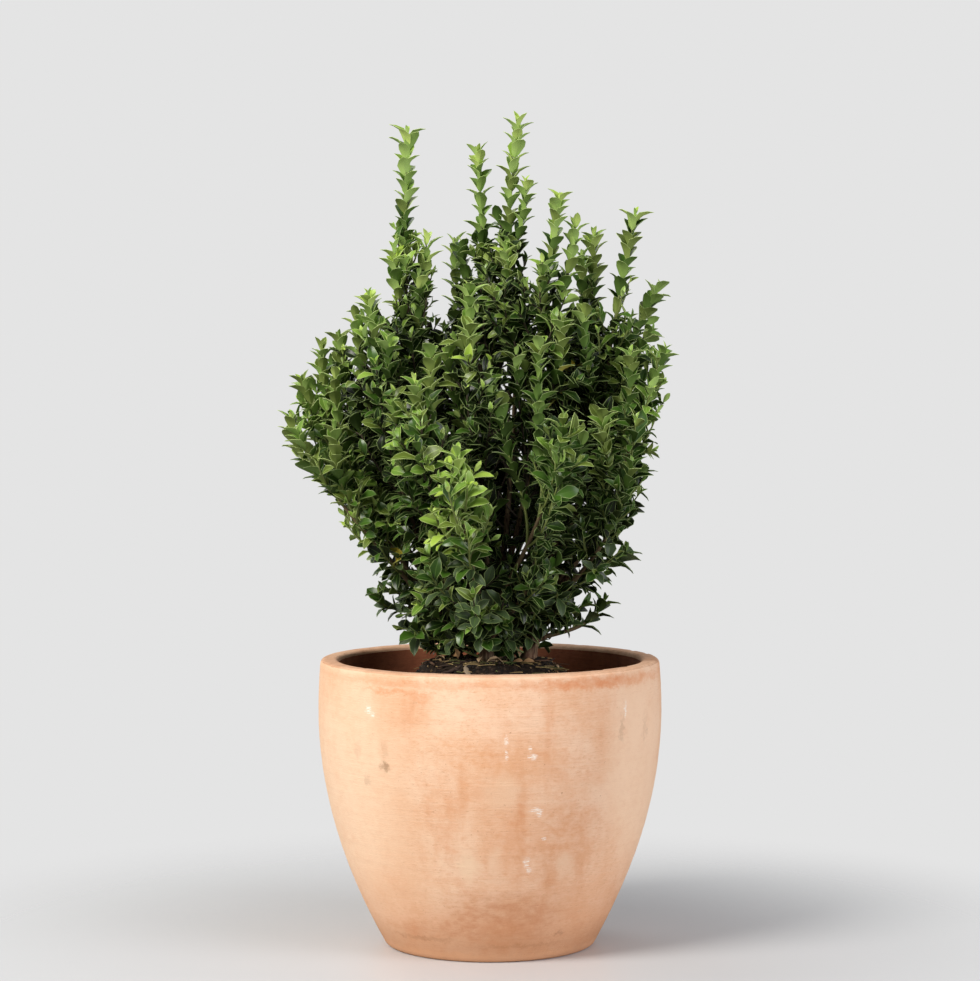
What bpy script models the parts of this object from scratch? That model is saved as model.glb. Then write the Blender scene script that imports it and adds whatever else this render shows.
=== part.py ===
"""A bushy, small-leaved evergreen shrub that stands in a turned terracotta pot.

Metres, +Z up. The origin is the middle of the pot's underside, on the floor.
Several stems rise from the potting soil and fork into limbs. Each limb is one smooth curve from its
stem's foot to its topmost bud, told in three lengths: the stub that belongs to the stem, the bare
bough, and the leader that carries the bough's own mass of foliage.
"""

import math
import random

import bmesh
import bpy
import numpy as np
from mathutils import Matrix, Vector
from mathutils.bvhtree import BVHTree

# Pot
POT_HEIGHT = 0.333
POT_FOOT_RADIUS = 0.121
POT_BELLY_RADIUS = 0.200
POT_BELLY_HEIGHT = 0.272
POT_MOUTH_RADIUS = 0.197
POT_SWELL = 1.93  # power of the curve from the foot out to the belly
POT_WALL = 0.021
POT_FLOOR = 0.022
POT_FOOT_EDGE = 0.003
RIM_ROUND = 0.005
RIM_STEPS = 2
TURNING_STEPS = 36
OUTER_LEVELS = 7
INNER_LEVELS = 4

# Potting soil: a raised root ball in the middle of a lower bed
SOIL_BED = 0.286
SOIL_TOP = 0.327
SOIL_FLAT_RADIUS = 0.066
SOIL_MOUND_RADIUS = 0.118
MOUND_STEPS = 3

GAP = 0.0003  # between two pieces that rest on or continue each other

# Stems: where each one leaves the soil
STEM_FEET = {
    "left": (-0.040, -0.004),
    "front": (-0.004, -0.040),
    "centre": (0.004, 0.000),
    "right": (0.044, -0.006),
    "back": (0.000, 0.042),
}
STEM_HEIGHT = 0.050
STEM_LEAN = 0.26  # share of the foot's distance from the middle that the fork lies further out
STEM_RADIUS = 0.0075
STEM_SIDES = 8
FLARE_RADIUS = 0.0125
FLARE_HEIGHT = 0.016
LOW_FORK = 0.55  # share of the stem's height where its low limbs leave

# Limbs: the stem they leave, the place of the topmost bud, and whether they leave low
LIMBS = {
    "left_spire": ("left", (-0.096, 0.010, 0.942), False),
    "left_shoulder": ("left", (-0.138, -0.056, 0.752), False),
    "left_upper": ("left", (-0.178, 0.052, 0.704), False),
    "left_outer": ("left", (-0.218, 0.000, 0.654), False),
    "left_low": ("left", (-0.218, -0.066, 0.594), False),
    "left_foot": ("left", (-0.112, 0.010, 0.430), True),
    "front_left": ("front", (-0.084, -0.130, 0.656), False),
    "front_low": ("front", (-0.036, -0.180, 0.578), False),
    "front_right": ("front", (0.082, -0.150, 0.616), False),
    "front_left_foot": ("front", (-0.064, -0.106, 0.478), True),
    "front_right_foot": ("front", (0.060, -0.106, 0.474), True),
    "centre_spire": ("centre", (0.032, 0.000, 0.950), False),
    "front_centre": ("centre", (-0.024, -0.100, 0.714), False),
    "right_inner": ("centre", (0.080, -0.030, 0.864), False),
    "right_centre": ("right", (0.122, 0.046, 0.826), False),
    "right_spire": ("right", (0.168, 0.000, 0.848), False),
    "right_outer": ("right", (0.198, 0.056, 0.764), False),
    "right_side": ("right", (0.200, -0.040, 0.690), False),
    "right_low": ("right", (0.160, -0.104, 0.560), False),
    "right_foot": ("right", (0.132, -0.012, 0.400), True),
    "centre_left": ("back", (-0.014, 0.026, 0.920), False),
    "centre_back": ("back", (-0.042, 0.086, 0.816), False),
    "back_left": ("back", (-0.120, 0.138, 0.712), False),
    "back_centre": ("back", (0.006, 0.186, 0.648), False),
    "back_right": ("back", (0.112, 0.142, 0.736), False),
    "back_foot": ("back", (0.004, 0.122, 0.450), True),
}
LIMB_RADIUS = 0.0052
LEADER_RADIUS = 0.0030
BUD_RADIUS = 0.0010
SPREAD = 1.08  # how far a limb leans out where it forks, against the straight line to its bud
EXTRA_LEAN = math.radians(6)
MOST_LEAN = math.radians(80)
UPRIGHT = 0.35  # how much of that lean is left at its bud
GRIP = 0.36  # how far the curve holds its first heading, as a share of its span
REACH = 0.40  # the same at its bud
BOUGH_SHARE = 0.09  # of the limb's length, bare between its stub and its foliage
FORK_CLEAR = 0.0012
LEAST_STUB = 0.012
STUB_STEP = 0.002
PATH_POINTS = 11
RING_CLEAR = 0.004  # the least distance between two rings of a tube
LIMB_SIDES = 6
LEADER_SIDES = 4

# The crown's outline, which no twig or leaf passes but those on the spires: (height, middle, reach)
CROWN = (
    (0.35, 0.000, 0.112),
    (0.40, -0.008, 0.138),
    (0.50, 0.004, 0.170),
    (0.60, -0.016, 0.228),
    (0.70, -0.008, 0.212),
    (0.80, 0.000, 0.184),
    (0.86, 0.020, 0.120),
)

# Foliage: twice life size in the body of the crown, nearer to life size on the spires
SPIRE_LEAF = 0.029
SPIRE_SWELL = 0.45  # how much larger the lowest leaves of a spire are than its topmost
BODY_LEAF = 0.046
LEAF_WIDTH = 0.54  # this and the next two are shares of its length
LEAF_WIDEST = 0.58
LEAF_KEEL = 0.07
LEAF_FOLD = 0.07
LEAF_SUNK = 0.0006
LEAF_STAGGER = 0.0022
ROOT_DEPTH = 0.6  # where a leaf is rooted in the core, as a share of the core's radius
ROOT_REACH = 0.006  # a leaf's own root, this near its foot, needs no room
LEAF_TRIES = ((1, 1), (0.6, 1), (1, 0.8), (0.5, 0.75))  # shares of its opening and its size
SPIRE_STEP = 0.0185
SPIRE_SHARE = 0.31
LOW_SPIRE_SHARE = 0.15
SPIRE_OPENING = 42
TIP_OPENING = 26
CORE_RADIUS = 0.027
CORE_LEAST = 0.0035
CORE_SIDES = 6
CORE_RINGS = 5
CORE_START = 0.012  # past the leader's foot
CORE_END = 0.010  # past the foot of the spire
CORE_BLUNT = 0.6  # the lower, the blunter its ends
CORE_STEP = 0.001
BUD_DEPTH = 0.012
CORE_CLEAR = 0.005  # the core keeps this much further inside its space than the leaves
SHOOT_STEP = 0.0132  # between the feet of the shoots that stand out of a core
LOW_SHOOT_STEP = 0.0075
SHOOT_OPENING = 56
TWIG_EVERY = 4  # of these shoots, one in this many is a twig with leaves of its own
TWIG_LENGTHS = (0.084, 0.063, 0.042)  # tried in turn, the longest first
TWIG_PAIR = 0.6  # of its length, where it has a pair of leaves
TWIG_LEAF = 0.041
TWIG_RADIUS = 0.0020
TWIG_LIFT = 0.35
GOLDEN_ANGLE = math.radians(137.5)
OWN_SPACE = 0.0016  # twice the least distance between two masses
WOOD_CLEAR = 0.0016
SOIL_CLEAR = 0.004
SAMPLE = 0.008  # between the points that stand for a limb when room is measured

UP = Vector((0, 0, 1))


def clear_scene():
    for thing in list(bpy.data.objects):
        bpy.data.objects.remove(thing)


def new_collection(name):
    made = bpy.data.collections.new(name)
    bpy.context.scene.collection.children.link(made)
    return made


def surface(name, colour, roughness):
    made = bpy.data.materials.new(name)
    made.use_nodes = True
    shader = made.node_tree.nodes["Principled BSDF"]
    shader.inputs["Base Color"].default_value = (*colour, 1)
    shader.inputs["Roughness"].default_value = roughness
    return made


def add_object(name, data, finish, home):
    made = bpy.data.objects.new(name, data)
    if finish:
        made.data.materials.append(finish)
    home.objects.link(made)
    return made


def new_mesh(name, shape):
    """A mesh made from the bmesh, which is freed."""
    mesh = bpy.data.meshes.new(name)
    shape.to_mesh(mesh)
    shape.free()
    return mesh


def as_mesh(curve_object, finish, home):
    """The curve object as a closed mesh object of the same name. The curve is removed."""
    graph = bpy.context.evaluated_depsgraph_get()
    mesh = bpy.data.meshes.new_from_object(curve_object.evaluated_get(graph))
    shape = bmesh.new()
    shape.from_mesh(mesh)
    bmesh.ops.remove_doubles(shape, verts=shape.verts, dist=0.00001)
    bmesh.ops.recalc_face_normals(shape, faces=shape.faces)
    shape.to_mesh(mesh)
    shape.free()
    name, place = curve_object.name, curve_object.matrix_world.copy()
    bpy.data.objects.remove(curve_object)
    mesh.materials.clear()
    made = add_object(name, mesh, finish, home)
    made.matrix_world = place
    return made


# Pot and soil


def pot_radius(height):
    """The outer radius of the pot at a height."""
    if height < POT_BELLY_HEIGHT:
        below = (POT_BELLY_HEIGHT - height) / POT_BELLY_HEIGHT
        return POT_BELLY_RADIUS - (POT_BELLY_RADIUS - POT_FOOT_RADIUS) * below**POT_SWELL
    above = (height - POT_BELLY_HEIGHT) / (POT_HEIGHT - POT_BELLY_HEIGHT)
    return POT_BELLY_RADIUS - (POT_BELLY_RADIUS - POT_MOUTH_RADIUS) * above**2


def inside_radius(height):
    """The inner radius of the pot at a height."""
    return pot_radius(height) - POT_WALL


def inner_levels():
    """Heights down the inner wall below the soil's bed, closer together near the floor."""
    floor = POT_FLOOR + GAP
    shares = [1 - step / INNER_LEVELS for step in range(INNER_LEVELS + 1)]
    return [floor + (SOIL_BED - floor) * share**1.4 for share in shares]


def turned(name, profile, finish, home):
    """A solid of revolution round Z. The profile runs down its outer side, and ends on the axis."""
    mesh = bpy.data.meshes.new(name)
    edges = [(i, i + 1) for i in range(len(profile) - 1)]
    mesh.from_pydata([(radius, 0, height) for radius, height in profile], edges, [])
    made = add_object(name, mesh, finish, home)
    screw = made.modifiers.new("turn", "SCREW")
    screw.axis = "Z"
    screw.angle = math.tau
    screw.steps = screw.render_steps = TURNING_STEPS
    screw.use_merge_vertices = True
    screw.merge_threshold = 0.00005
    screw.use_smooth_shade = True
    return made


def rim_profile():
    """The rounded rim, from inside the mouth over the top and down to the outer wall."""
    low = POT_HEIGHT - RIM_ROUND
    outer, inner = pot_radius(low), pot_radius(low) - POT_WALL
    turns = [math.pi / 2 * step / RIM_STEPS for step in range(RIM_STEPS + 1)]
    arc = [(RIM_ROUND * (1 - math.cos(turn)), low + RIM_ROUND * math.sin(turn)) for turn in turns]
    inside = [(inner + inset, height) for inset, height in arc]
    outside = [(outer - inset, height) for inset, height in arc]
    return inside + outside[::-1]


def build_pot(finish, home):
    top = POT_HEIGHT - RIM_ROUND
    levels = [top - (top - POT_FOOT_EDGE) * step / OUTER_LEVELS for step in range(1, OUTER_LEVELS + 1)]
    profile = [(pot_radius(height), height) for height in levels]
    profile += [(POT_FOOT_RADIUS - POT_FOOT_EDGE, 0), (0, 0)]
    inner = [(inside_radius(height), height) for height in inner_levels()]
    hollow = [(0, POT_FLOOR), (inner[-1][0], POT_FLOOR)] + inner[-2::-1]
    return turned("pot", hollow + rim_profile() + profile, finish, home)


def build_soil(finish, home):
    mound = [(0, SOIL_TOP), (SOIL_FLAT_RADIUS, SOIL_TOP)]
    for step in range(1, MOUND_STEPS + 1):
        radius = SOIL_FLAT_RADIUS + (SOIL_MOUND_RADIUS - SOIL_FLAT_RADIUS) * step / MOUND_STEPS
        mound.append((radius, soil_height(radius)))
    wall = [(inside_radius(height) - GAP, height) for height in inner_levels()]
    return turned("soil", mound + wall + [(0, wall[-1][1])], finish, home)


def soil_height(across):
    """The height of the soil at a distance from the pot's axis."""
    share = np.clip((across - SOIL_FLAT_RADIUS) / (SOIL_MOUND_RADIUS - SOIL_FLAT_RADIUS), 0, 1)
    return SOIL_BED + (SOIL_TOP - SOIL_BED) * (1 + np.cos(math.pi * share)) / 2


# Stems and limbs


def stem_line(stem):
    """(foot, fork) of a stem: its foot is on the soil, and it leans away from the middle."""
    x, y = STEM_FEET[stem]
    foot = Vector((x, y, SOIL_TOP + GAP))
    return foot, Vector((x * (1 + STEM_LEAN), y * (1 + STEM_LEAN), foot.z + STEM_HEIGHT))


def limb_path(name):
    """Points on a limb, from its fork to its topmost bud, along one cubic curve."""
    stem, bud, leaves_low = LIMBS[name]
    foot, fork = stem_line(stem)
    start = foot.lerp(fork, LOW_FORK) if leaves_low else fork
    bud = Vector(bud)
    way = bud - start
    out = Vector((way.x, way.y, 0)).normalized()
    lean = math.atan2(Vector((way.x, way.y)).length, way.z)
    first = min(lean * SPREAD + EXTRA_LEAN, MOST_LEAN)
    last = lean * UPRIGHT
    grip = start + (out * math.sin(first) + UP * math.cos(first)) * way.length * GRIP
    reach = bud - (out * math.sin(last) + UP * math.cos(last)) * way.length * REACH
    points = []
    for step in range(PATH_POINTS):
        t = step / (PATH_POINTS - 1)
        near, far = (1 - t) ** 2, t**2
        middle = grip * 3 * near * t + reach * 3 * far * (1 - t)
        points.append(start * near * (1 - t) + middle + bud * far * t)
    return points


class Limb:
    """A limb's path, with the place and the radius at any length along it."""

    def __init__(self, name):
        self.name = name
        self.stem = LIMBS[name][0]
        self.low = LIMBS[name][2]
        self.stub = LEAST_STUB
        self.points = limb_path(name)
        self.marks = [0.0]
        for a, b in zip(self.points, self.points[1:]):
            self.marks.append(self.marks[-1] + (b - a).length)
        self.length = self.marks[-1]

    def at(self, along):
        along = min(max(along, 0.0), self.length)
        for i in range(1, len(self.marks)):
            if along <= self.marks[i]:
                share = (along - self.marks[i - 1]) / (self.marks[i] - self.marks[i - 1])
                return self.points[i - 1].lerp(self.points[i], share)
        return self.points[-1].copy()

    def rings(self, start, end):
        """Where a tube between two lengths has its rings: at its ends, and at each bend between them."""
        bends = [mark for mark in self.marks if start + RING_CLEAR < mark < end - RING_CLEAR]
        return [start] + bends + [end]

    def heading(self, along):
        return (self.at(along + RING_CLEAR) - self.at(along - RING_CLEAR)).normalized()

    def side(self, along, turn):
        """A direction square to the limb, turned round it from the normal of the plane it bends in."""
        way = self.points[-1] - self.points[0]
        normal = Vector((-way.y, way.x, 0)).normalized()
        return Matrix.Rotation(turn, 3, self.heading(along)) @ normal

    def radius(self, along):
        """Tapers quickly along the bough and slowly along the leader."""
        if along < self.entry:
            return LIMB_RADIUS + (LEADER_RADIUS - LIMB_RADIUS) * along / self.entry
        share = (along - self.entry) / (self.length - self.entry)
        return LEADER_RADIUS + (BUD_RADIUS - LEADER_RADIUS) * share

    @property
    def entry(self):
        """Where the leader, and with it the foliage, begins."""
        return self.stub + (0 if self.low else self.length * BOUGH_SHARE)

    @property
    def spire(self):
        """Where the core ends and the spire of paired leaves begins."""
        share = LOW_SPIRE_SHARE if self.low else SPIRE_SHARE
        return self.entry + (self.length - self.entry) * (1 - share)


def set_stubs(limbs):
    """Each limb belongs to its stem until it is clear of the stem and of every other limb."""
    for limb in limbs:
        foot, fork = stem_line(limb.stem)
        around = [(foot.lerp(fork, step / 20), STEM_RADIUS) for step in range(21)]
        for other in limbs:
            if other is not limb:
                around += [(other.at(STUB_STEP * step), LIMB_RADIUS) for step in range(80)]
        while touches(limb.at(limb.stub), around):
            limb.stub += STUB_STEP


def touches(point, around):
    """Whether a limb through the point comes too near any of the (place, radius) round it."""
    return any((point - place).length < LIMB_RADIUS + thick + FORK_CLEAR for place, thick in around)


def tube(name, limb, start, end, sides, finish, home):
    """The length of a limb between two marks, as a tapering closed tube."""
    curve = bpy.data.curves.new(name, "CURVE")
    curve.dimensions = "3D"
    curve.bevel_depth = 1.0
    curve.bevel_resolution = (sides - 4) // 2
    curve.use_fill_caps = True
    spline = curve.splines.new("POLY")
    rings = limb.rings(start, end)
    spline.points.add(len(rings) - 1)
    for point, along in zip(spline.points, rings):
        point.co = (*limb.at(along), 1)
        point.radius = limb.radius(along)
    return as_mesh(add_object(name, curve, None, home), finish, home)


def ringed_column(sides, rings, place_vertex):
    """A closed column of stacked rings. place_vertex(ring, turn) says where each vertex goes."""
    shape = bmesh.new()
    bmesh.ops.create_cone(shape, cap_ends=True, segments=sides, radius1=1, radius2=1, depth=rings - 1)
    upright = [edge for edge in shape.edges if abs(edge.verts[0].co.z - edge.verts[1].co.z) > 0.5]
    bmesh.ops.subdivide_edges(shape, edges=upright, cuts=rings - 2)
    for vertex in shape.verts:
        ring = round(vertex.co.z + (rings - 1) / 2)
        vertex.co = place_vertex(ring, math.atan2(vertex.co.y, vertex.co.x))
    bmesh.ops.recalc_face_normals(shape, faces=shape.faces)
    return shape


def stem_foot(stem, finish, home):
    """A stem from its flat cut on the soil, flared at the foot, up to its fork."""
    foot, fork = stem_line(stem)
    heights = (0, 0.3 * FLARE_HEIGHT, FLARE_HEIGHT, STEM_HEIGHT)
    radii = (FLARE_RADIUS, FLARE_RADIUS * 0.82, STEM_RADIUS * 1.08, STEM_RADIUS * 0.92)

    def place_vertex(ring, turn):
        middle = foot.lerp(fork, heights[ring] / STEM_HEIGHT)
        return middle + Vector((math.cos(turn), math.sin(turn), 0)) * radii[ring]

    name = f"stem_{stem}"
    return add_object(name, new_mesh(name, ringed_column(STEM_SIDES, 4, place_vertex)), finish, home)


# Joining and clearing up


def union(base, parts_home):
    """Joins every object in the collection to base, and removes the collection's objects."""
    join = base.modifiers.new("join", "BOOLEAN")
    join.operation = "UNION"
    join.operand_type = "COLLECTION"
    join.collection = parts_home
    for solver in ("EXACT", "MANIFOLD"):
        join.solver = solver
        bpy.context.view_layer.update()
        mesh = bpy.data.meshes.new_from_object(base.evaluated_get(bpy.context.evaluated_depsgraph_get()))
        if keep_main_body(mesh):
            break
    base.modifiers.clear()
    base.data = mesh
    for part in list(parts_home.objects):
        bpy.data.objects.remove(part)


def keep_main_body(mesh):
    """Drops loose scraps and fills the hollows that joining sealed, which are bodies of their own.

    Says whether what is left is closed.
    """
    shape = bmesh.new()
    shape.from_mesh(mesh)
    bmesh.ops.dissolve_degenerate(shape, dist=0.000001, edges=shape.edges)
    bmesh.ops.triangulate(shape, faces=shape.faces)
    seen, bodies = set(), []
    for face in shape.faces:
        if face in seen:
            continue
        seen.add(face)
        body, todo = [], [face]
        while todo:
            current = todo.pop()
            body.append(current)
            near_faces = [near for edge in current.edges for near in edge.link_faces]
            todo += [near for near in dict.fromkeys(near_faces) if near not in seen]
            seen.update(near_faces)
        bodies.append(body)
    main = max(bodies, key=body_volume)
    spare = [face for body in bodies if body is not main for face in body]
    bmesh.ops.delete(shape, geom=spare, context="FACES")
    bmesh.ops.delete(shape, geom=[v for v in shape.verts if not v.link_faces], context="VERTS")
    closed = all(edge.is_manifold for edge in shape.edges)
    shape.to_mesh(mesh)
    shape.free()
    return closed


def body_volume(faces):
    """Below zero for the wall of a sealed hollow, whose faces point inwards."""
    return sum(f.verts[0].co.dot(f.verts[1].co.cross(f.verts[2].co)) for f in faces) / 6


# Foliage


class Room:
    """Says whether points lie in one limb's own space, clear of wood, soil and pot."""

    def __init__(self, limbs):
        self.lines = {}
        wood, thick = [], []
        for limb in limbs:
            steps = int(limb.length / SAMPLE)
            self.lines[limb.name] = np.array([limb.at(SAMPLE * i) for i in range(steps)] + [limb.points[-1]])
            for i in range(int(2 * limb.entry / SAMPLE)):
                wood.append(limb.at(i * SAMPLE / 2))
                thick.append(limb.radius(i * SAMPLE / 2))
        for stem in STEM_FEET:
            foot, fork = stem_line(stem)
            for i in range(int(2 * STEM_HEIGHT / SAMPLE) + 1):
                wood.append(foot.lerp(fork, i * SAMPLE / 2 / STEM_HEIGHT))
                thick.append(FLARE_RADIUS if i * SAMPLE / 2 < FLARE_HEIGHT else STEM_RADIUS)
        self.wood, self.thick = np.array(wood), np.array(thick)

    def holds(self, name, points, margin=0.0, bounded=True):
        """Whether the points lie there, with the margin to spare, and in the crown's outline if bounded."""
        spots = np.array(points)
        heights, middles, reaches = np.transpose(CROWN)
        middle = np.interp(spots[:, 2], heights, middles)
        reach = np.interp(spots[:, 2], heights, reaches)
        if bounded and (np.hypot(spots[:, 0] - middle, spots[:, 1]) > reach).any():
            return False
        own = distances(spots, self.lines[name]) + OWN_SPACE + 2 * margin
        for other, line in self.lines.items():
            if other != name and (own > distances(spots, line)).any():
                return False
        between = np.linalg.norm(spots[:, None] - self.wood[None], axis=2) - self.thick
        if (between < WOOD_CLEAR + margin).any():
            return False
        across = np.hypot(spots[:, 0], spots[:, 1])
        low = spots[:, 2] < POT_HEIGHT + SOIL_CLEAR
        if (low & (across > inside_radius(POT_HEIGHT) - SOIL_CLEAR)).any():
            return False
        return bool((spots[:, 2] > soil_height(across) + SOIL_CLEAR + margin).all())


def distances(spots, line):
    return np.linalg.norm(spots[:, None] - line[None], axis=2).min(axis=1)


def leaf_mesh():
    """One leaf of six faces and unit length, folded along its midrib, from the origin to its tip at +X."""
    shape = bmesh.new()
    bmesh.ops.create_cone(shape, cap_ends=False, segments=3, radius1=1, radius2=0, depth=1)
    apex = max(shape.verts, key=lambda v: v.co.z)
    ring = sorted((v for v in shape.verts if v is not apex), key=lambda v: v.co.x)
    foot = bmesh.ops.contextual_create(shape, geom=[e for e in shape.edges if e.is_boundary])["faces"]
    foot = bmesh.ops.poke(shape, faces=foot)["verts"][0]
    apex.co = (1, 0, 0)
    foot.co = (0, 0, 0)
    ring[0].co = (LEAF_WIDEST, -LEAF_WIDTH / 2, LEAF_FOLD)
    ring[1].co = (LEAF_WIDEST, LEAF_WIDTH / 2, LEAF_FOLD)
    ring[2].co = (LEAF_WIDEST, 0, -LEAF_KEEL)
    bmesh.ops.recalc_face_normals(shape, faces=shape.faces)
    return new_mesh("leaf", shape)


def leaf_place(foot, along, facing, size):
    """The matrix that sets the unit leaf at foot, pointing along, with its upper side to facing."""
    side = facing.cross(along).normalized()
    turn = Matrix((along, side, along.cross(side))).transposed().to_4x4()
    return Matrix.Translation(foot - along * LEAF_SUNK) @ turn @ Matrix.Scale(size, 4)


def across_of(direction, turn):
    """A direction square to the given one, turned round it."""
    side = direction.cross(UP if abs(direction.z) < 0.95 else Vector((1, 0, 0))).normalized()
    return Matrix.Rotation(turn, 3, direction) @ side


class Mass:
    """The foliage of one limb: its leader, a core, the shoots that stand out of it, and their leaves."""

    def __init__(self, limb, room, leaf, finish, home, parts_home):
        self.limb, self.room, self.leaf = limb, room, leaf
        self.home, self.parts_home = home, parts_home
        self.finish = finish
        self.rng = random.Random(f"foliage {limb.name}")
        self.placed = []

    def build(self):
        limb = self.limb
        start = limb.entry + GAP
        bud = limb.length - BUD_DEPTH
        name, top = f"foliage_{limb.name}", limb.length - BUD_DEPTH / 2
        base = tube(name, limb, start, top, LEADER_SIDES, self.finish, self.home)
        self.add_core(start + CORE_START, limb.spire + CORE_END)
        self.leaf_pairs(limb.spire + CORE_END, bud)
        self.tip_leaves(limb.at(bud), limb.heading(limb.length), SPIRE_LEAF, 0.0, False)
        turn = self.rng.uniform(0, math.tau)
        step = LOW_SHOOT_STEP if limb.low else SHOOT_STEP
        along, count = start + CORE_START * 2, 0
        while along < limb.spire + CORE_END:
            if count % TWIG_EVERY == 0:
                self.twig(along, turn)
            else:
                self.core_leaf(along, turn)
            turn += GOLDEN_ANGLE * self.rng.uniform(0.9, 1.1)
            along += step * self.rng.uniform(0.85, 1.15)
            count += 1
        union(base, self.parts_home)
        return base

    def core_radius(self, along, turn, start, end):
        """How far the core reaches at a place: a spindle, pulled in where room runs out."""
        share = min(max((along - start) / (end - start), 0.0), 1.0)
        radius = CORE_RADIUS * math.sin(math.pi * share) ** CORE_BLUNT
        foot, side = self.limb.at(along), self.limb.side(along, turn)
        while radius > CORE_LEAST and not self.room.holds(self.limb.name, [foot + side * radius], CORE_CLEAR):
            radius -= CORE_STEP
        return max(radius, CORE_LEAST)

    def add_core(self, start, end):
        self.core = (start, end)

        def place_vertex(ring, turn):
            along = start + (end - start) * ring / (CORE_RINGS - 1)
            radius = self.core_radius(along, turn, start, end)
            return self.limb.at(along) + self.limb.side(along, turn) * radius

        mesh = new_mesh("core", ringed_column(CORE_SIDES, CORE_RINGS, place_vertex))
        add_object("core", mesh, None, self.parts_home)

    def core_leaf(self, along, turn):
        """One leaf that stands out of the core."""
        side = self.limb.side(along, turn)
        foot = self.limb.at(along) + side * self.core_radius(along, turn, *self.core) * ROOT_DEPTH
        size = BODY_LEAF * self.rng.uniform(0.9, 1.08)
        self.add_leaf(foot, self.limb.heading(along), side, size, SHOOT_OPENING)

    def twig(self, along, turn):
        """A straight three-sided twig with a pair of leaves on it and three at its tip."""
        foot, heading = self.limb.at(along), self.limb.heading(along)
        side = self.limb.side(along, turn)
        opening = math.radians(SHOOT_OPENING)
        way = (heading * math.cos(opening) + side * math.sin(opening) + UP * TWIG_LIFT).normalized()
        for length in TWIG_LENGTHS:
            spots = [foot + way * length * quarter / 4 for quarter in (1, 2, 3, 4)]
            if self.room.holds(self.limb.name, spots):
                break
        else:
            return
        shape = bmesh.new()
        sizes = {"radius1": TWIG_RADIUS, "radius2": BUD_RADIUS, "depth": length}
        bmesh.ops.create_cone(shape, cap_ends=True, segments=3, **sizes)
        bmesh.ops.translate(shape, verts=shape.verts, vec=(0, 0, length / 2))
        twig = add_object("twig", new_mesh("twig", shape), None, self.parts_home)
        twig.matrix_world = Matrix.Translation(foot) @ way.to_track_quat("Z", "Y").to_matrix().to_4x4()
        if length > TWIG_LENGTHS[-1]:
            self.leaf_pair(foot + way * length * TWIG_PAIR, way, turn, TWIG_LEAF, True)
        self.tip_leaves(foot + way * (length - BUD_DEPTH / 2), way, TWIG_LEAF, turn, True)

    def leaf_pairs(self, start, end):
        """Opposite pairs up the spire, each pair square to the last."""
        along, turn = start, self.rng.uniform(0, math.tau)
        while along <= end:
            size = SPIRE_LEAF * (1 + SPIRE_SWELL * (end - along) / (end - start))
            size *= self.rng.uniform(0.94, 1.06)
            self.leaf_pair(self.limb.at(along), self.limb.heading(along), turn, size, False)
            turn += math.pi / 2 + self.rng.uniform(-0.12, 0.12)
            along += SPIRE_STEP

    def leaf_pair(self, foot, heading, turn, size, bounded):
        for half in (0, 1):
            spot = foot + heading * half * LEAF_STAGGER
            side = across_of(heading, turn + half * math.pi)
            self.add_leaf(spot, heading, side, size, SPIRE_OPENING, bounded)

    def tip_leaves(self, foot, heading, size, turn, bounded):
        for third in range(3):
            spot = foot + heading * third * LEAF_STAGGER / 2
            side = across_of(heading, turn + third * math.tau / 3)
            self.add_leaf(spot, heading, side, size * self.rng.uniform(0.8, 1.0), TIP_OPENING, bounded)

    def add_leaf(self, foot, heading, side, size, opening, bounded=True):
        """Adds the leaf, closer to its shoot or smaller where room runs out, or skips it."""
        angle = math.radians(opening + self.rng.uniform(-6, 6))
        for narrower, smaller in LEAF_TRIES:
            along = heading * math.cos(angle * narrower) + side * math.sin(angle * narrower)
            place = leaf_place(foot, along, heading, size * smaller)
            corners = [place @ v.co for v in self.leaf.vertices]
            outline = BVHTree.FromPolygons(corners, [tuple(face.vertices) for face in self.leaf.polygons])
            spots = corners + [(a + b) / 2 for a in corners for b in corners if a is not b]
            outer = [spot for spot in spots if (spot - foot).length > ROOT_REACH]
            fits = self.room.holds(self.limb.name, outer, bounded=bounded)
            if fits and not any(outline.overlap(leaf) for leaf in self.placed):
                self.placed.append(outline)
                add_object("leaf", self.leaf, None, self.parts_home).matrix_world = place
                return


def build_stems(limbs, finish, home, parts_home):
    for stem in STEM_FEET:
        base = stem_foot(stem, finish, home)
        for limb in limbs:
            if limb.stem == stem:
                tube("stub", limb, 0, limb.stub, LIMB_SIDES, None, parts_home)
        union(base, parts_home)


def build_boughs(limbs, finish, home):
    """The bare lengths of the limbs. A low limb has none: its foliage starts at its stub."""
    for limb in limbs:
        if not limb.low:
            tube(f"bough_{limb.name}", limb, limb.stub + GAP, limb.entry, LIMB_SIDES, finish, home)


def main():
    clear_scene()
    home = new_collection("potted_shrub")
    parts_home = new_collection("joined_pieces")
    terracotta = surface("terracotta", (0.62, 0.33, 0.18), 0.85)
    compost = surface("compost", (0.045, 0.03, 0.02), 0.95)
    bark = surface("bark", (0.15, 0.11, 0.075), 0.85)
    foliage = surface("foliage", (0.07, 0.13, 0.03), 0.5)
    build_pot(terracotta, home)
    build_soil(compost, home)
    limbs = [Limb(name) for name in LIMBS]
    set_stubs(limbs)
    build_stems(limbs, bark, home, parts_home)
    build_boughs(limbs, bark, home)
    room = Room(limbs)
    leaf = leaf_mesh()
    for limb in limbs:
        mass = Mass(limb, room, leaf, foliage, home, parts_home)
        made = mass.build()
        print(made.name, "leaves", len(mass.placed), "triangles", len(made.data.polygons))
    bpy.data.collections.remove(parts_home)


main()
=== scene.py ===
import math
import random

import bpy
import numpy as np
from mathutils import Matrix, Vector, noise


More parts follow.
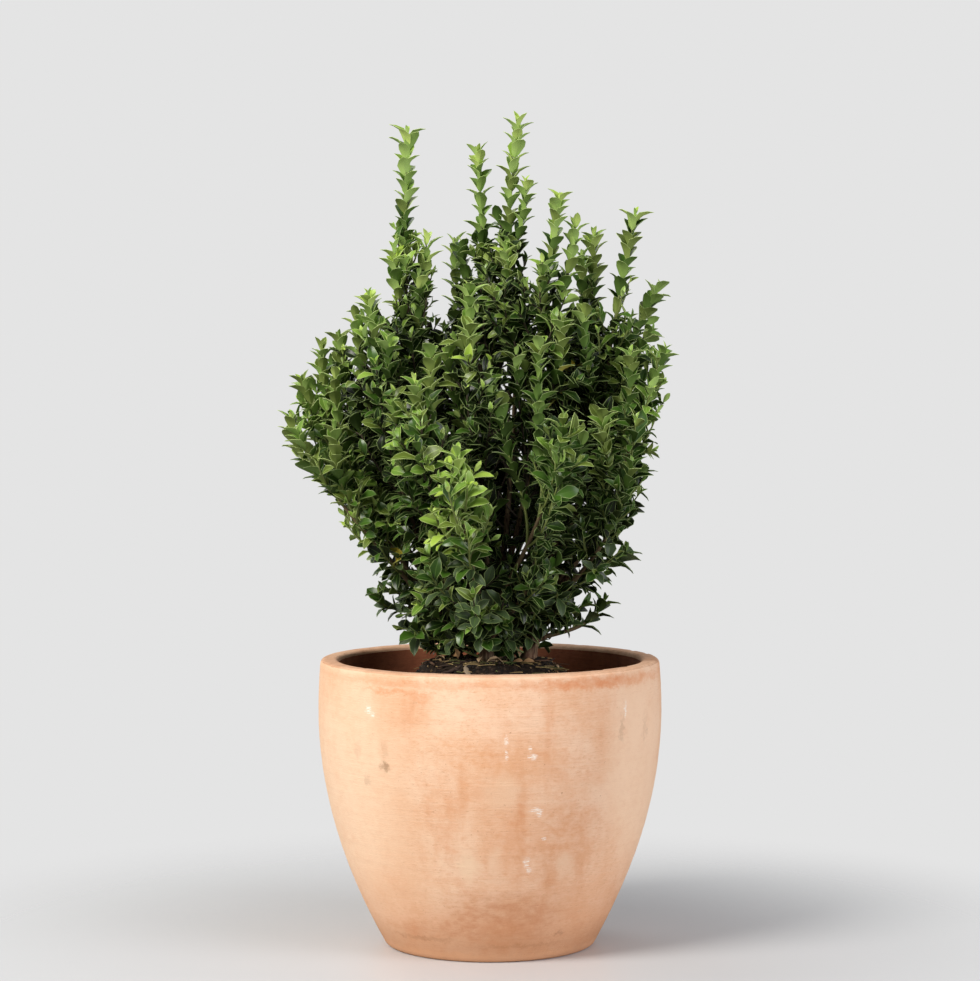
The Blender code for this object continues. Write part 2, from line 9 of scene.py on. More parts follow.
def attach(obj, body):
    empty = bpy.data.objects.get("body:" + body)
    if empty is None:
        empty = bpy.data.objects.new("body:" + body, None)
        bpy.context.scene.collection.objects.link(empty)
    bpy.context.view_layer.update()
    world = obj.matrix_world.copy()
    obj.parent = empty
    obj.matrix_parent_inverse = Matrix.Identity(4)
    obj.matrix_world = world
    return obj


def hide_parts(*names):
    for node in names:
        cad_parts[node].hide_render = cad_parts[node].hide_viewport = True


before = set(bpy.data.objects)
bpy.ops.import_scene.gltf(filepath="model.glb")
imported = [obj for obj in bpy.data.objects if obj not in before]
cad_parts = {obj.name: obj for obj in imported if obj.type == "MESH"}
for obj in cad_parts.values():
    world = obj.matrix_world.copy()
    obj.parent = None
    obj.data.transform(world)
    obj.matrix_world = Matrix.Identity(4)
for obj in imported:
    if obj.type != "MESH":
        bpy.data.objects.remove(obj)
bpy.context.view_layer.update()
scene = bpy.context.scene
up = np.array((0.0, 0.0, 1.0))


# small helpers

def unit(vector):
    return vector / max(np.linalg.norm(vector), 1e-9)


def turned(vector, axis, angle):
    # the vector turned round a unit axis
    cos, sin = math.cos(angle), math.sin(angle)
    return vector * cos + np.cross(axis, vector) * sin + axis * np.dot(axis, vector) * (1 - cos)


def across(heading, turn):
    # a direction square to the heading, turned round it
    side = np.cross(heading, up if abs(heading[2]) < 0.95 else np.array((1.0, 0.0, 0.0)))
    return turned(unit(side), heading, turn)


def colour(hexValue, alpha=1.0):
    # an sRGB hex value as a linear colour
    parts = [int(hexValue[i:i + 2], 16) / 255 for i in (1, 3, 5)]
    return tuple(c / 12.92 if c <= 0.04045 else ((c + 0.055) / 1.055) ** 2.4 for c in parts) + (alpha,)


def addNode(tree, kind, inputs=None, **settings):
    node = tree.nodes.new("ShaderNode" + kind)
    for name, value in settings.items():
        setattr(node, name, value)
    for name, value in (inputs or {}).items():
        if isinstance(value, bpy.types.NodeSocket):
            tree.links.new(value, node.inputs[name])
        else:
            node.inputs[name].default_value = value
    return node


def newMaterial(name, base, roughness, **sockets):
    # a plain finish, which the caller may go on to pattern
    made = bpy.data.materials.new(name)
    made.use_nodes = True
    shader = made.node_tree.nodes["Principled BSDF"]
    shader.inputs["Base Color"].default_value = colour(base)
    shader.inputs["Roughness"].default_value = roughness
    for socket, value in sockets.items():
        shader.inputs[socket.replace("_", " ")].default_value = value
    return made


def setRamp(ramp, *stops):
    # stops: (place, colour), the first and the last being the ends
    for element, (place, tone) in zip(ramp.elements, (stops[0], stops[-1])):
        element.position, element.color = place, colour(tone)
    for place, tone in stops[1:-1]:
        ramp.elements.new(place).color = colour(tone)


def newPiece(name, vertices, faces, materials, materialOf=None):
    # a mesh object from arrays of vertices and faces
    mesh = bpy.data.meshes.new(name)
    mesh.from_pydata(vertices, [], faces)
    for material in materials:
        mesh.materials.append(material)
    if materialOf is not None:
        mesh.polygons.foreach_set("material_index", np.asarray(materialOf, np.int32))
    mesh.update()
    piece = bpy.data.objects.new(name, mesh)
    scene.collection.objects.link(piece)
    select(piece)
    return piece


def select(thing=None):
    # everything is deselected first
    bpy.ops.object.select_all(action="DESELECT")
    if thing:
        thing.select_set(True)
        bpy.context.view_layer.objects.active = thing


def primitive(add, **settings):
    select()
    add(**settings)
    return bpy.context.object


def editAll():
    bpy.ops.object.mode_set(mode="EDIT")
    bpy.ops.mesh.select_mode(type="VERT")
    bpy.ops.mesh.select_all(action="SELECT")


def turnShape(name, profile, around):
    # a closed turned shape, drawn up ring by ring through the profile's radii and heights
    made = primitive(bpy.ops.mesh.primitive_circle_add, vertices=around, radius=profile[0][0],
                     location=(0, 0, profile[0][1]))
    made.name = made.data.name = name
    editAll()
    for (r0, z0), (r1, z1) in zip(profile, profile[1:]):
        bpy.ops.mesh.extrude_region_move(TRANSFORM_OT_translate={"value": (0, 0, z1 - z0)})
        bpy.ops.transform.resize(value=(r1 / r0, r1 / r0, 1))
    bpy.ops.mesh.select_all(action="SELECT")
    bpy.ops.mesh.fill_holes(sides=0)
    bpy.ops.mesh.normals_make_consistent(inside=False)
    bpy.ops.object.mode_set(mode="OBJECT")
    bpy.ops.object.transform_apply(location=True, rotation=False, scale=False)
    return made


def takeShape(thing):
    # the vertices and faces of a thing that is copied many times; the thing itself goes
    mesh = thing.data
    shape = np.array([v.co for v in mesh.vertices]), [tuple(p.vertices) for p in mesh.polygons]
    bpy.data.objects.remove(thing)
    bpy.data.meshes.remove(mesh)
    return shape


def applyModifier(piece, kind, **settings):
    modifier = piece.modifiers.new(kind.lower(), kind)
    for name, value in settings.items():
        setattr(modifier, name, value)
    bpy.ops.object.modifier_apply(modifier=modifier.name)


def settle(piece, degrees, slot, *replaced):
    # its shading, what it rides on, and the nodes it stands for, which are hidden; its finish, the slot, is not used
    select(piece)
    bpy.ops.object.shade_smooth_by_angle(angle=math.radians(degrees))
    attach(piece, "root")
    if replaced:
        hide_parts(*replaced)


def interpolate(value, marks, values):
    return float(np.interp(value, marks, values))


def curve(start, grip, reach, end, steps):
    # points along one smooth curve that leaves the start towards the grip and comes to the end from the reach
    t = np.linspace(0, 1, steps)[:, None]
    return start * (1 - t) ** 3 + grip * 3 * t * (1 - t) ** 2 + reach * 3 * t * t * (1 - t) + end * t ** 3


# camera, light and floor

cameraSetup = {"place": (0, -3.26, 0.665), "pitch": 2.4, "lens": 102.9}

lightSetup = {
    # name: (place, size, watts, colour)
    "key": ((-2.5, -2.2, 2.7), 1.8, 192, "#fffbf4"),
    "fill": ((2.9, -1.9, 1.5), 2.2, 78, "#f8f8ff"),
    "rim": ((-1.2, 2.2, 2.4), 1.8, 16, "#ffffff"),
}

wallSetup = {"seen": "#e4e4e4", "lit": "#f8f8f6", "strength": 0.33}   # the wall's tone, and what lights the plant

floorSetup = {"tone": "#c9cacd", "radius": 1.15, "fadeFrom": 0.22, "fadeTo": 0.85}


def place(name, data, at):
    thing = bpy.data.objects.new(name, data)
    thing.location = at
    scene.collection.objects.link(thing)
    return thing


def setCamera():
    data = bpy.data.cameras.new("camera")
    data.lens, data.sensor_width = cameraSetup["lens"], 36
    scene.camera = place("camera", data, cameraSetup["place"])
    scene.camera.rotation_euler = (math.radians(90 - cameraSetup["pitch"]), 0, 0)
    scene.view_settings.view_transform = "Standard"


def setLights():
    aim = Vector((0, 0, 0.5))
    for name, (at, size, watts, tone) in lightSetup.items():
        data = bpy.data.lights.new(name, "AREA")
        data.shape, data.size, data.energy, data.color = "DISK", size, watts, colour(tone)[:3]
        place(name, data, at).rotation_euler = (aim - Vector(at)).to_track_quat("-Z", "Y").to_euler()
    scene.world = bpy.data.worlds.new("studio")
    scene.world.use_nodes = True
    tree = scene.world.node_tree
    seen = tree.nodes["Background"]
    seen.inputs["Color"].default_value = colour(wallSetup["seen"])
    path = addNode(tree, "LightPath")
    lit = addNode(tree, "Background", {"Color": colour(wallSetup["lit"]), "Strength": wallSetup["strength"]})
    mix = addNode(tree, "MixShader", {0: path.outputs["Is Camera Ray"], 1: lit.outputs[0], 2: seen.outputs[0]})
    tree.links.new(mix.outputs[0], tree.nodes["World Output"].inputs["Surface"])


def addFloor():
    # a pale, slightly glossy floor that fades into the wall's tone
    floor = primitive(bpy.ops.mesh.primitive_circle_add, vertices=180, radius=floorSetup["radius"],
                      fill_type="NGON", location=(0, 0, -0.0002))
    floor.name = "floor"
    made = newMaterial("pale lacquered floor", floorSetup["tone"], 0.42, Specular_IOR_Level=0.5)
    tree = made.node_tree
    seat = addNode(tree, "TexCoord").outputs["Object"]
    off = addNode(tree, "VectorMath", {0: seat}, operation="LENGTH").outputs["Value"]
    fade = addNode(tree, "MapRange", {"Value": off, "From Min": floorSetup["fadeFrom"],
                                      "From Max": floorSetup["fadeTo"]}, interpolation_type="SMOOTHSTEP")
    clear = addNode(tree, "BsdfTransparent")
    mix = addNode(tree, "MixShader", {0: fade.outputs[0], 1: tree.nodes["Principled BSDF"].outputs[0],
                                      2: clear.outputs[0]})
    tree.links.new(mix.outputs[0], tree.nodes["Material Output"].inputs["Surface"])
    floor.data.materials.append(made)


setCamera()
setLights()
addFloor()
print("camera, light and floor are set")


# the plant's frame, by the source's rule: stems, and limbs that are one curve each up to their bud

stemFeet = {"left": (-0.040, -0.004), "front": (-0.004, -0.040), "centre": (0.004, 0.000),
            "right": (0.044, -0.006), "back": (0.000, 0.042)}

stemShape = {"foot": 0.3273, "height": 0.050, "lean": 0.26, "radius": 0.0075, "flare": 0.0125, "lowFork": 0.55}

limbTable = {
    # stem: its limbs, each with its bud in mm; a limb named foot leaves its stem low
    "left": {"left_spire": (-96, 10, 942), "left_shoulder": (-138, -56, 752), "left_upper": (-178, 52, 704),
             "left_outer": (-218, 0, 654), "left_low": (-218, -66, 594), "left_foot": (-112, 10, 430)},
    "front": {"front_left": (-84, -130, 656), "front_low": (-36, -180, 578), "front_right": (82, -150, 616),
              "front_left_foot": (-64, -106, 478), "front_right_foot": (60, -106, 474)},
    "centre": {"centre_spire": (32, 0, 950), "front_centre": (-24, -100, 714), "right_inner": (80, -30, 864)},
    "right": {"right_centre": (122, 46, 826), "right_spire": (168, 0, 848), "right_outer": (198, 56, 764),
              "right_side": (200, -40, 690), "right_low": (160, -104, 560), "right_foot": (132, -12, 400)},
    "back": {"centre_left": (-14, 26, 920), "centre_back": (-42, 86, 816), "back_left": (-120, 138, 712),
             "back_centre": (6, 186, 648), "back_right": (112, 142, 736), "back_foot": (4, 122, 450)},
}

limbShape = {"radius": 0.0052, "leaderRadius": 0.0030, "budRadius": 0.0010, "spread": 1.08,
             "extraLean": math.radians(6), "mostLean": math.radians(80), "upright": 0.35, "grip": 0.36,
             "reach": 0.40, "boughShare": 0.09, "forkClear": 0.0012, "leastStub": 0.012,
             "spireShare": 0.31, "lowSpireShare": 0.15, "points": 61,
             # how far below its bud a limb is a plain spire, by the bud's height
             "tipDepth": ((0.60, 0.72, 0.86, 0.95), (0.010, 0.030, 0.080, 0.120))}


def stemLine(stem):
    x, y = stemFeet[stem]
    lean = 1 + stemShape["lean"]
    foot = np.array((x, y, stemShape["foot"]))
    return foot, np.array((x * lean, y * lean, stemShape["foot"] + stemShape["height"]))


# how far a limb sways out of its curve, in x, and from which share of its length on
limbSway = {"left_spire": (-0.007, 0.5), "centre_spire": (-0.010, 0.5), "centre_left": (0.005, 0.5),
            "right_spire": (-0.009, 0.5), "right_outer": (-0.029, 0.5), "right_side": (-0.012, 0.5),
            "right_inner": (-0.010, 0.5), "right_centre": (0.004, 0.5), "left_low": (0.020, 0.12),
            "left_outer": (0.014, 0.12)}


class Path:
    # a line through points, read by the length along it

    def __init__(self, points):
        self.points = np.asarray(points, float)
        steps = np.linalg.norm(np.diff(self.points, axis=0), axis=1)
        self.marks = np.concatenate(([0.0], np.cumsum(steps)))
        self.length = self.marks[-1]

    def at(self, along):
        return np.array([np.interp(along, self.marks, self.points[:, i]) for i in range(3)])

    def heading(self, along):
        near, far = max(along - 0.004, 0.0), min(along + 0.004, self.length)
        return unit(self.at(far) - self.at(near))


class Limb(Path):

    def __init__(self, stem, name):
        self.stem, self.name, self.low = stem, name, name.endswith("foot")
        self.bud = bud = np.array(limbTable[stem][name]) / 1000
        foot, fork = stemLine(stem)
        start = foot + (fork - foot) * stemShape["lowFork"] if self.low else fork
        way = bud - start
        span = np.linalg.norm(way)
        out = unit(way * (1, 1, 0))
        lean = math.atan2(math.hypot(way[0], way[1]), way[2])
        first = min(lean * limbShape["spread"] + limbShape["extraLean"], limbShape["mostLean"])
        last = lean * limbShape["upright"]
        grip = start + (out * math.sin(first) + up * math.cos(first)) * span * limbShape["grip"]
        reach = bud - (out * math.sin(last) + up * math.cos(last)) * span * limbShape["reach"]
        sideways, since = limbSway.get(name, (0.0, 0.5))
        share = np.clip((np.linspace(0, 1, limbShape["points"])[:, None] - since) / (1 - since), 0, 1)
        super().__init__(curve(start, grip, reach, bud, limbShape["points"])
                         + np.array((sideways, 0, 0)) * np.sin(math.pi * share))
        self.normal = unit(np.array((-way[1], way[0], 0.0)))
        self.stub = limbShape["leastStub"]
        self.tipDepth = interpolate(bud[2], *limbShape["tipDepth"])

    def side(self, along, turn):
        return turned(self.normal, self.heading(along), turn)

    @property
    def entry(self):
        return self.stub + (0 if self.low else self.length * limbShape["boughShare"])

    @property
    def spire(self):
        share = limbShape["lowSpireShare" if self.low else "spireShare"]
        return self.entry + (self.length - self.entry) * (1 - share)

    def radius(self, along):
        if along < self.entry:
            return limbShape["radius"] + (limbShape["leaderRadius"] - limbShape["radius"]) * along / self.entry
        share = (along - self.entry) / (self.length - self.entry)
        return limbShape["leaderRadius"] + (limbShape["budRadius"] - limbShape["leaderRadius"]) * share


limbs = {name: Limb(stem, name) for stem in limbTable for name in limbTable[stem]}


def setStubs():
    # a limb belongs to its stem until it is clear of the stem and of every other limb
    for limb in limbs.values():
        foot, fork = stemLine(limb.stem)
        around = [foot + (fork - foot) * step / 20 for step in range(21)]
        thick = [stemShape["radius"]] * 21
        for other in limbs.values():
            if other is not limb:
                around += [other.at(0.002 * step) for step in range(80)]
                thick += [limbShape["radius"]] * 80
        around, thick = np.array(around), np.array(thick) + limbShape["radius"] + limbShape["forkClear"]
        while (np.linalg.norm(around - limb.at(limb.stub), axis=1) < thick).any():
            limb.stub += 0.002


setStubs()
print("limbs follow the source's rule:", len(limbs))


# the room that shoots and leaves have

crownOutline = np.array((
    # height, reach to the left, to the right, to the front, to the back, in mm
    (330, 60, 64, 85, 80), (360, 90, 86, 118, 110), (410, 136, 132, 142, 136), (470, 150, 160, 160, 152),
    (500, 160, 172, 172, 166), (530, 176, 180, 185, 180), (560, 204, 186, 192, 190), (600, 236, 194, 185, 200),
    (640, 240, 191, 165, 203), (680, 222, 194, 145, 200), (720, 190, 206, 125, 185), (780, 165, 204, 105, 155),
    (860, 130, 190, 85, 120), (960, 110, 100, 80, 90),
)) / 1000

# slots of sky that open upwards between the spires: middle, height of the bottom, spread, most half width
skySlots = ((-0.0570, 0.708, 0.40, 0.0110), (-0.1190, 0.722, 0.40, 0.0090), (0.0515, 0.758, 0.40, 0.0090),
            (0.1087, 0.764, 0.30, 0.0045), (0.1380, 0.705, 0.25, 0.0080), (0.1720, 0.712, 0.35, 0.0090))

# shaded hollows in the front: middle in x and z, half width, half height, how far back they reach
hollows = ((0.028, 0.508, 0.026, 0.060, -0.045), (-0.046, 0.622, 0.010, 0.026, -0.035))

roomRule = {"interleave": 0.014, "tipOff": 0.015, "tipFlare": 0.38, "mostOff": 0.13, "nearLimb": 0.030,
            "woodClear": 0.0012, "potTop": 0.333, "potInside": 0.172, "soilClear": 0.004,
            # how far inside the outline shoots end, and how far leaves and shoots near their limb pass it
            "within": 0.010, "freeWithin": 0.006, "proud": 0.012,
            "viewDistance": 3.26}   # from where the slots and the hollows show

soilShape = {"bed": 0.286, "top": 0.327, "flatRadius": 0.066, "moundRadius": 0.118}


def soilHeight(across):
    share = np.clip((across - soilShape["flatRadius"]) / (soilShape["moundRadius"] - soilShape["flatRadius"]), 0, 1)
    return soilShape["bed"] + (soilShape["top"] - soilShape["bed"]) * (1 + np.cos(math.pi * share)) / 2


limbNames = list(limbs)
linePoints = np.concatenate([limb.points[::2] for limb in limbs.values()])
lineOwner = np.repeat(np.arange(len(limbs)), [len(limb.points[::2]) for limb in limbs.values()])
wood = [(*limb.at(along), limb.radius(along)) for limb in limbs.values() for along in np.arange(0, limb.entry, 0.004)]
for stem in stemFeet:
    foot, fork = stemLine(stem)
    wood += [(*(foot + (fork - foot) * share), stemShape["flare" if share < 0.35 else "radius"])
             for share in np.linspace(0, 1, 14)]
woodPoints, woodThick = np.array(wood)[:, :3], np.array(wood)[:, 3]


def insideCrown(point, slack=0.0):
    # how far inside the crown's outline the point lies, below zero outside
    side = np.interp(point[2], crownOutline[:, 0], crownOutline[:, 1 if point[0] < 0 else 2])
    depth = np.interp(point[2], crownOutline[:, 0], crownOutline[:, 3 if point[1] < 0 else 4])
    share = math.hypot(point[0] / (side + slack), point[1] / (depth + slack))
    return (1 - share) * min(side, depth)


def leftOpen(point):
    # whether the point lies in a slot of sky or a hollow
    x, y, z = point
    seen = x * (1 - y / roomRule["viewDistance"])
    for middle, bottom, spread, most in skySlots:
        if z > bottom and abs(seen - middle) < min(spread * (z - bottom), most):
            return True
    return any(y < back and math.hypot((seen - middle) / wide, (z - height) / tall) < 1
               for middle, height, wide, tall, back in hollows)


def clearOfPot(point):
    off = math.hypot(point[0], point[1])
    if point[2] < roomRule["potTop"] + roomRule["soilClear"] and off > roomRule["potInside"]:
        return False
    return point[2] > soilHeight(off) + roomRule["soilClear"]


def clearOfWood(point):
    return (np.linalg.norm(woodPoints - point, axis=1) > woodThick + roomRule["woodClear"]).all()


def holds(limb, point, free=False):
    # whether a shoot of the limb may grow there; a free one may cross other limbs' ground
    if not (clearOfPot(point) and clearOfWood(point)):
        return False
    if free:
        return insideCrown(point) > roomRule["freeWithin"]
    gaps = np.linalg.norm(linePoints - point, axis=1)
    own = gaps[lineOwner == limbNames.index(limb.name)].min()
    if own > gaps.min() + roomRule["interleave"]:
        return False
    off = roomRule["tipOff"] + roomRule["tipFlare"] * max(limb.bud[2] - point[2] - limb.tipDepth, 0.0)
    if own > min(off, roomRule["mostOff"]):
        return False
    # close to its own limb a shoot may stand a little proud of the outline
    return insideCrown(point) > (roomRule["within"] if own > roomRule["nearLimb"] else -roomRule["proud"])


# leaves: each kind is modelled once, a metre long, and copied

leafKinds = {
    # kind: stations (share of length, half width), fold, how far its tip curls back
    "broad": (((0, 0), (0.24, 0.120), (0.60, 0.256), (0.86, 0.172), (1, 0)), 0.36, 0.16),
    "body": (((0, 0), (0.24, 0.100), (0.60, 0.225), (0.86, 0.150), (1, 0)), 0.46, 0.20),
    "spire": (((0, 0), (0.20, 0.165), (0.55, 0.262), (0.84, 0.172), (1, 0)), 0.58, 0.16),
    "slim": (((0, 0), (0.24, 0.090), (0.60, 0.200), (0.87, 0.135), (1, 0)), 0.52, 0.22),
    "young": (((0, 0), (0.20, 0.120), (0.52, 0.205), (0.82, 0.130), (1, 0)), 0.60, 0.08),
}

leafBlade = {"ribWidth": 0.013, "marginWidth": 0.017, "thickness": 0.014}


def modelLeaf(kind):
    # a grid shaped to the blade's outline, then given its thickness
    stations, fold, curl = leafKinds[kind]
    last = len(stations) - 1
    leaf = primitive(bpy.ops.mesh.primitive_grid_add, x_subdivisions=last, y_subdivisions=5, size=2)
    for vertex in leaf.data.vertices:
        station, column = round((vertex.co.x + 1) / 2 * last), round((vertex.co.y + 1) / 2 * 5)
        share, half = stations[station]
        rib = min(leafBlade["ribWidth"] * (1.3 - share), half * 0.3)
        inner = max(half - leafBlade["marginWidth"], half * 0.6)
        y = (-half, -inner, -rib, rib, inner, half)[column]
        z = fold * max(abs(y) - rib, 0) * (1 - 0.5 * share) + 0.07 * math.sin(math.pi * share) - curl * share ** 3
        vertex.co = (share, y, z)
    # rows of faces across the blade: margin, blade, midrib, blade, margin
    for polygon in leaf.data.polygons:
        polygon.material_index = (1, 0, 2, 0, 1)[min(vertex // len(stations) for vertex in polygon.vertices)]
    editAll()
    bpy.ops.mesh.remove_doubles(threshold=0.0005)
    bpy.ops.object.mode_set(mode="OBJECT")
    for material in range(3):
        leaf.data.materials.append(None)
    applyModifier(leaf, "SOLIDIFY", thickness=leafBlade["thickness"], offset=-1)
    # upper side 0, under side 1, pale margin and edge 2 (partly painted highlight), midrib 3
    parts = []
    for polygon in leaf.data.polygons:
        if abs(polygon.normal.z) < 0.45:
            parts.append(2)
        else:
            parts.append((0, 2, 3)[polygon.material_index] if polygon.normal.z > 0 else 1)
    return *takeShape(leaf), np.array(parts)


leafShapes = {kind: modelLeaf(kind) for kind in leafKinds}
print("leaf kinds:", {kind: len(faces) for kind, (points, faces, parts) in leafShapes.items()})


# leaf finishes: leathery evergreen leaf, glossy above, matt and paler below, with a pale edge that is partly its own
# cartilage rim and partly painted highlight where the thick edge catches light

leafTints = {
    # tint: (upper side, under side, roughness and sheen of the upper side)
    "deep": ("#121d05", "#28360f", 0.32, 0.24),
    "dark": ("#1b2e0b", "#3a4f1f", 0.32, 0.26),
    "mature": ("#294312", "#4f6a2c", 0.32, 0.30),
    "green": ("#3c5c1b", "#64813b", 0.33, 0.36),
    "olive": ("#5c6d29", "#82944b", 0.38, 0.40),
    "fresh": ("#668830", "#8dab57", 0.38, 0.42),
    "pale": ("#84a440", "#a6c26c", 0.42, 0.42),
    "lime": ("#a2be4a", "#c2d878", 0.42, 0.42),
    "yellow": ("#c9b53e", "#d2c861", 0.45, 0.40),
    "dusty": ("#3c4d2d", "#62704b", 0.48, 0.30),
}

tintNames = list(leafTints)
youngTints = ("fresh", "pale", "lime", "yellow", "olive")
leafMaterials = []
for tint, (upperTone, underTone, gloss, sheen) in leafTints.items():
    leafMaterials += [newMaterial(f"leaf upper side, {tint}", upperTone, gloss, Specular_IOR_Level=sheen),
                      newMaterial(f"leaf under side, {tint}", underTone, 0.62, Specular_IOR_Level=0.22)]
for name, tone, gloss in (("margin, old", "#86995e", 0.5), ("margin, young", "#b9cd80", 0.5),
                          ("midrib, old", "#48642a", 0.45), ("midrib, young", "#96b058", 0.45)):
    leafMaterials.append(newMaterial("leaf " + name, tone, gloss, Specular_IOR_Level=0.3))
# the material of a leaf's parts, by its tint: upper side, under side, margin and midrib
edgeSlot = 2 * len(tintNames)
slotTable = np.array([(2 * i, 2 * i + 1, edgeSlot + (tint in youngTints), edgeSlot + 2 + (tint in youngTints))
                      for i, tint in enumerate(tintNames)])


class Foliage:
    # gathers the leaves and twigs of one mass, and makes them into pieces

    def __init__(self):
        self.leaves, self.twigs = {kind: [] for kind in leafKinds}, []

    def leaf(self, kind, foot, along, facing, size, width, tint):
        side = unit(np.cross(facing, along))
        self.leaves[kind].append((*foot, *(along * size), *(side * size * width), *(np.cross(along, side) * size),
                                  tintNames.index(tint)))

    def leafPiece(self, name):
        vertices, faces, slots, first = [], [], [], 0
        for kind, rows in self.leaves.items():
            if not rows:
                continue
            rows, (points, facets, parts) = np.array(rows), leafShapes[kind]
            made = np.einsum("vk,nkc->nvc", points, rows[:, 3:12].reshape(-1, 3, 3)) + rows[:, None, 0:3]
            vertices.append(made.reshape(-1, 3))
            last = first + len(rows) * len(points)
            faces += [tuple(start + v for v in face) for start in range(first, last, len(points)) for face in facets]
            slots.append(slotTable[rows[:, 12].astype(int)][:, parts].reshape(-1))
            first = last
        return newPiece(name, np.concatenate(vertices), faces, leafMaterials, np.concatenate(slots))

    def twigPiece(self, name, materials):
        vertices, faces, slots = [], [], []
        for points, radii, sides, slot in self.twigs:
            addTube(vertices, faces, points, radii, sides)
            slots += [slot] * (len(faces) - len(slots))
        return newPiece(name, vertices, faces, materials, slots)


def addTube(vertices, faces, points, radii, sides):
    # a closed tapering tube through the points
    first = len(vertices)
    side = across(unit(points[1] - points[0]), 0.0)
    for i, point in enumerate(points):
        heading = unit(points[min(i + 1, len(points) - 1)] - points[max(i - 1, 0)])
        side = unit(side - heading * np.dot(side, heading))
        other = np.cross(heading, side)
        for turn in np.arange(sides) * math.tau / sides:
            vertices.append(point + (side * math.cos(turn) + other * math.sin(turn)) * radii[i])
    last = len(vertices) - sides
    for ring in range(first, last, sides):
        for step in range(sides):
            a, b = ring + step, ring + (step + 1) % sides
            faces.append((a, b, b + sides, a + sides))
    faces.append(tuple(range(first, first + sides))[::-1])
    faces.append(tuple(range(last, last + sides)))


# shoots: the source's rule, carried to finer twigs with leaves in opposite pairs

shootRule = {
    "every": 0.0105,       # between shoots on a leader
    "opening": 56,         # degrees from the leader
    "lift": 0.35,
    "lengths": (0.112, 0.098, 0.084),
    "step": 0.006,
    "bend": 11.0,          # how fast a shoot turns upwards
    "twigOpening": 48,
    "twigLength": (0.022, 0.050),
    "leaf": (0.0230, 0.0300),
    "shade": ((0.45, 0.60, 0.66, 0.72), (0.125, 0.130, 0.145, 0.200)),   # by height: leaves lie no deeper
    "skirtEvery": 0.016,   # between the short shoots on a bare bough
    "skirtLength": (0.030, 0.072),
    "basal": 11,           # low shoots from each stem
    "basalLength": (0.040, 0.100),
    "spireYouth": ((0.40, 0.60, 0.70, 0.80, 0.95), (0.22, 0.47, 0.56, 0.68, 0.84)),   # by a bud's height
}

leafHabit = {
    # on a shoot and on a spire: the gap between pairs at its foot and at its tip, by how many degrees leaves
    # open at these lengths from the tip, how unevenly, and how much they face outwards
    "shoot": {"gaps": (0.0128, 0.0078), "opening": ((0.002, 0.012, 0.040), (26, 46, 56)), "loose": 11,
              "outward": 0.35},
    "spire": {"gaps": (0.0104, 0.0072), "opening": ((0.002, 0.009, 0.030, 0.080), (26, 44, 28, 32)), "loose": 5,
              "outward": 0.0},
}

youthAndShadeRule = {
    # a shoot's youth by its height and depth inside the crown, and the painted shade taken off it low on the right,
    # by x and height
    "height": ((0.38, 0.50, 0.64, 0.74, 0.86), (0.16, 0.26, 0.38, 0.48, 0.60)),
    "skin": ((0.0, 0.05, 0.10), (0.10, 0.0, -0.22)),
    "right": ((0.0, 0.05), (0, 1)), "rightHeight": ((0.50, 0.64), (0.20, 0)),
    # single leaves: the share of them, and how much younger; down a spire, by the length from its tip
    "downSpire": (0.7, (0.055, 0.15), (-0.10, -0.50)),
    "tip": (0.75, 0.22), "tipReach": 0.022, "other": (0.35, -0.05),
}

shadeRule = {
    # the share of leaves given the darkest tints as painted shade, by depth inside the crown and height, and low on
    # the right
    "depth": ((0.030, 0.065), (0, 0.85)), "height": ((0.66, 0.84), (1, 0.2)),
    "right": ((0.0, 0.04), (0, 1)), "rightHeight": ((0.42, 0.50, 0.60), (0.2, 0.6, 0)), "deepest": 0.65,
    "dusty": 0.45, "dustyBelow": 0.45,
}

# how much younger or older a limb's leaves are than their height tells; the lower values on the right-hand limbs are
# partly painted shade, that side lying away from the light
limbYouthAndShade = {"front_low": 0.30, "front_left_foot": 0.04, "left_outer": 0.10, "left_low": 0.06, "centre_left": 0.06,
             "right_centre": -0.10, "right_spire": -0.14, "right_outer": -0.06, "back_left": -0.06,
             "front_right_foot": -0.20, "front_right": -0.04, "right_low": -0.12, "right_foot": -0.12,
             "front_centre": 0.10}

# leaves that have yellowed, by where they show: x and height
yellowSpots = ((-0.090, 0.352), (0.100, 0.682), (0.086, 0.646), (-0.100, 0.455))

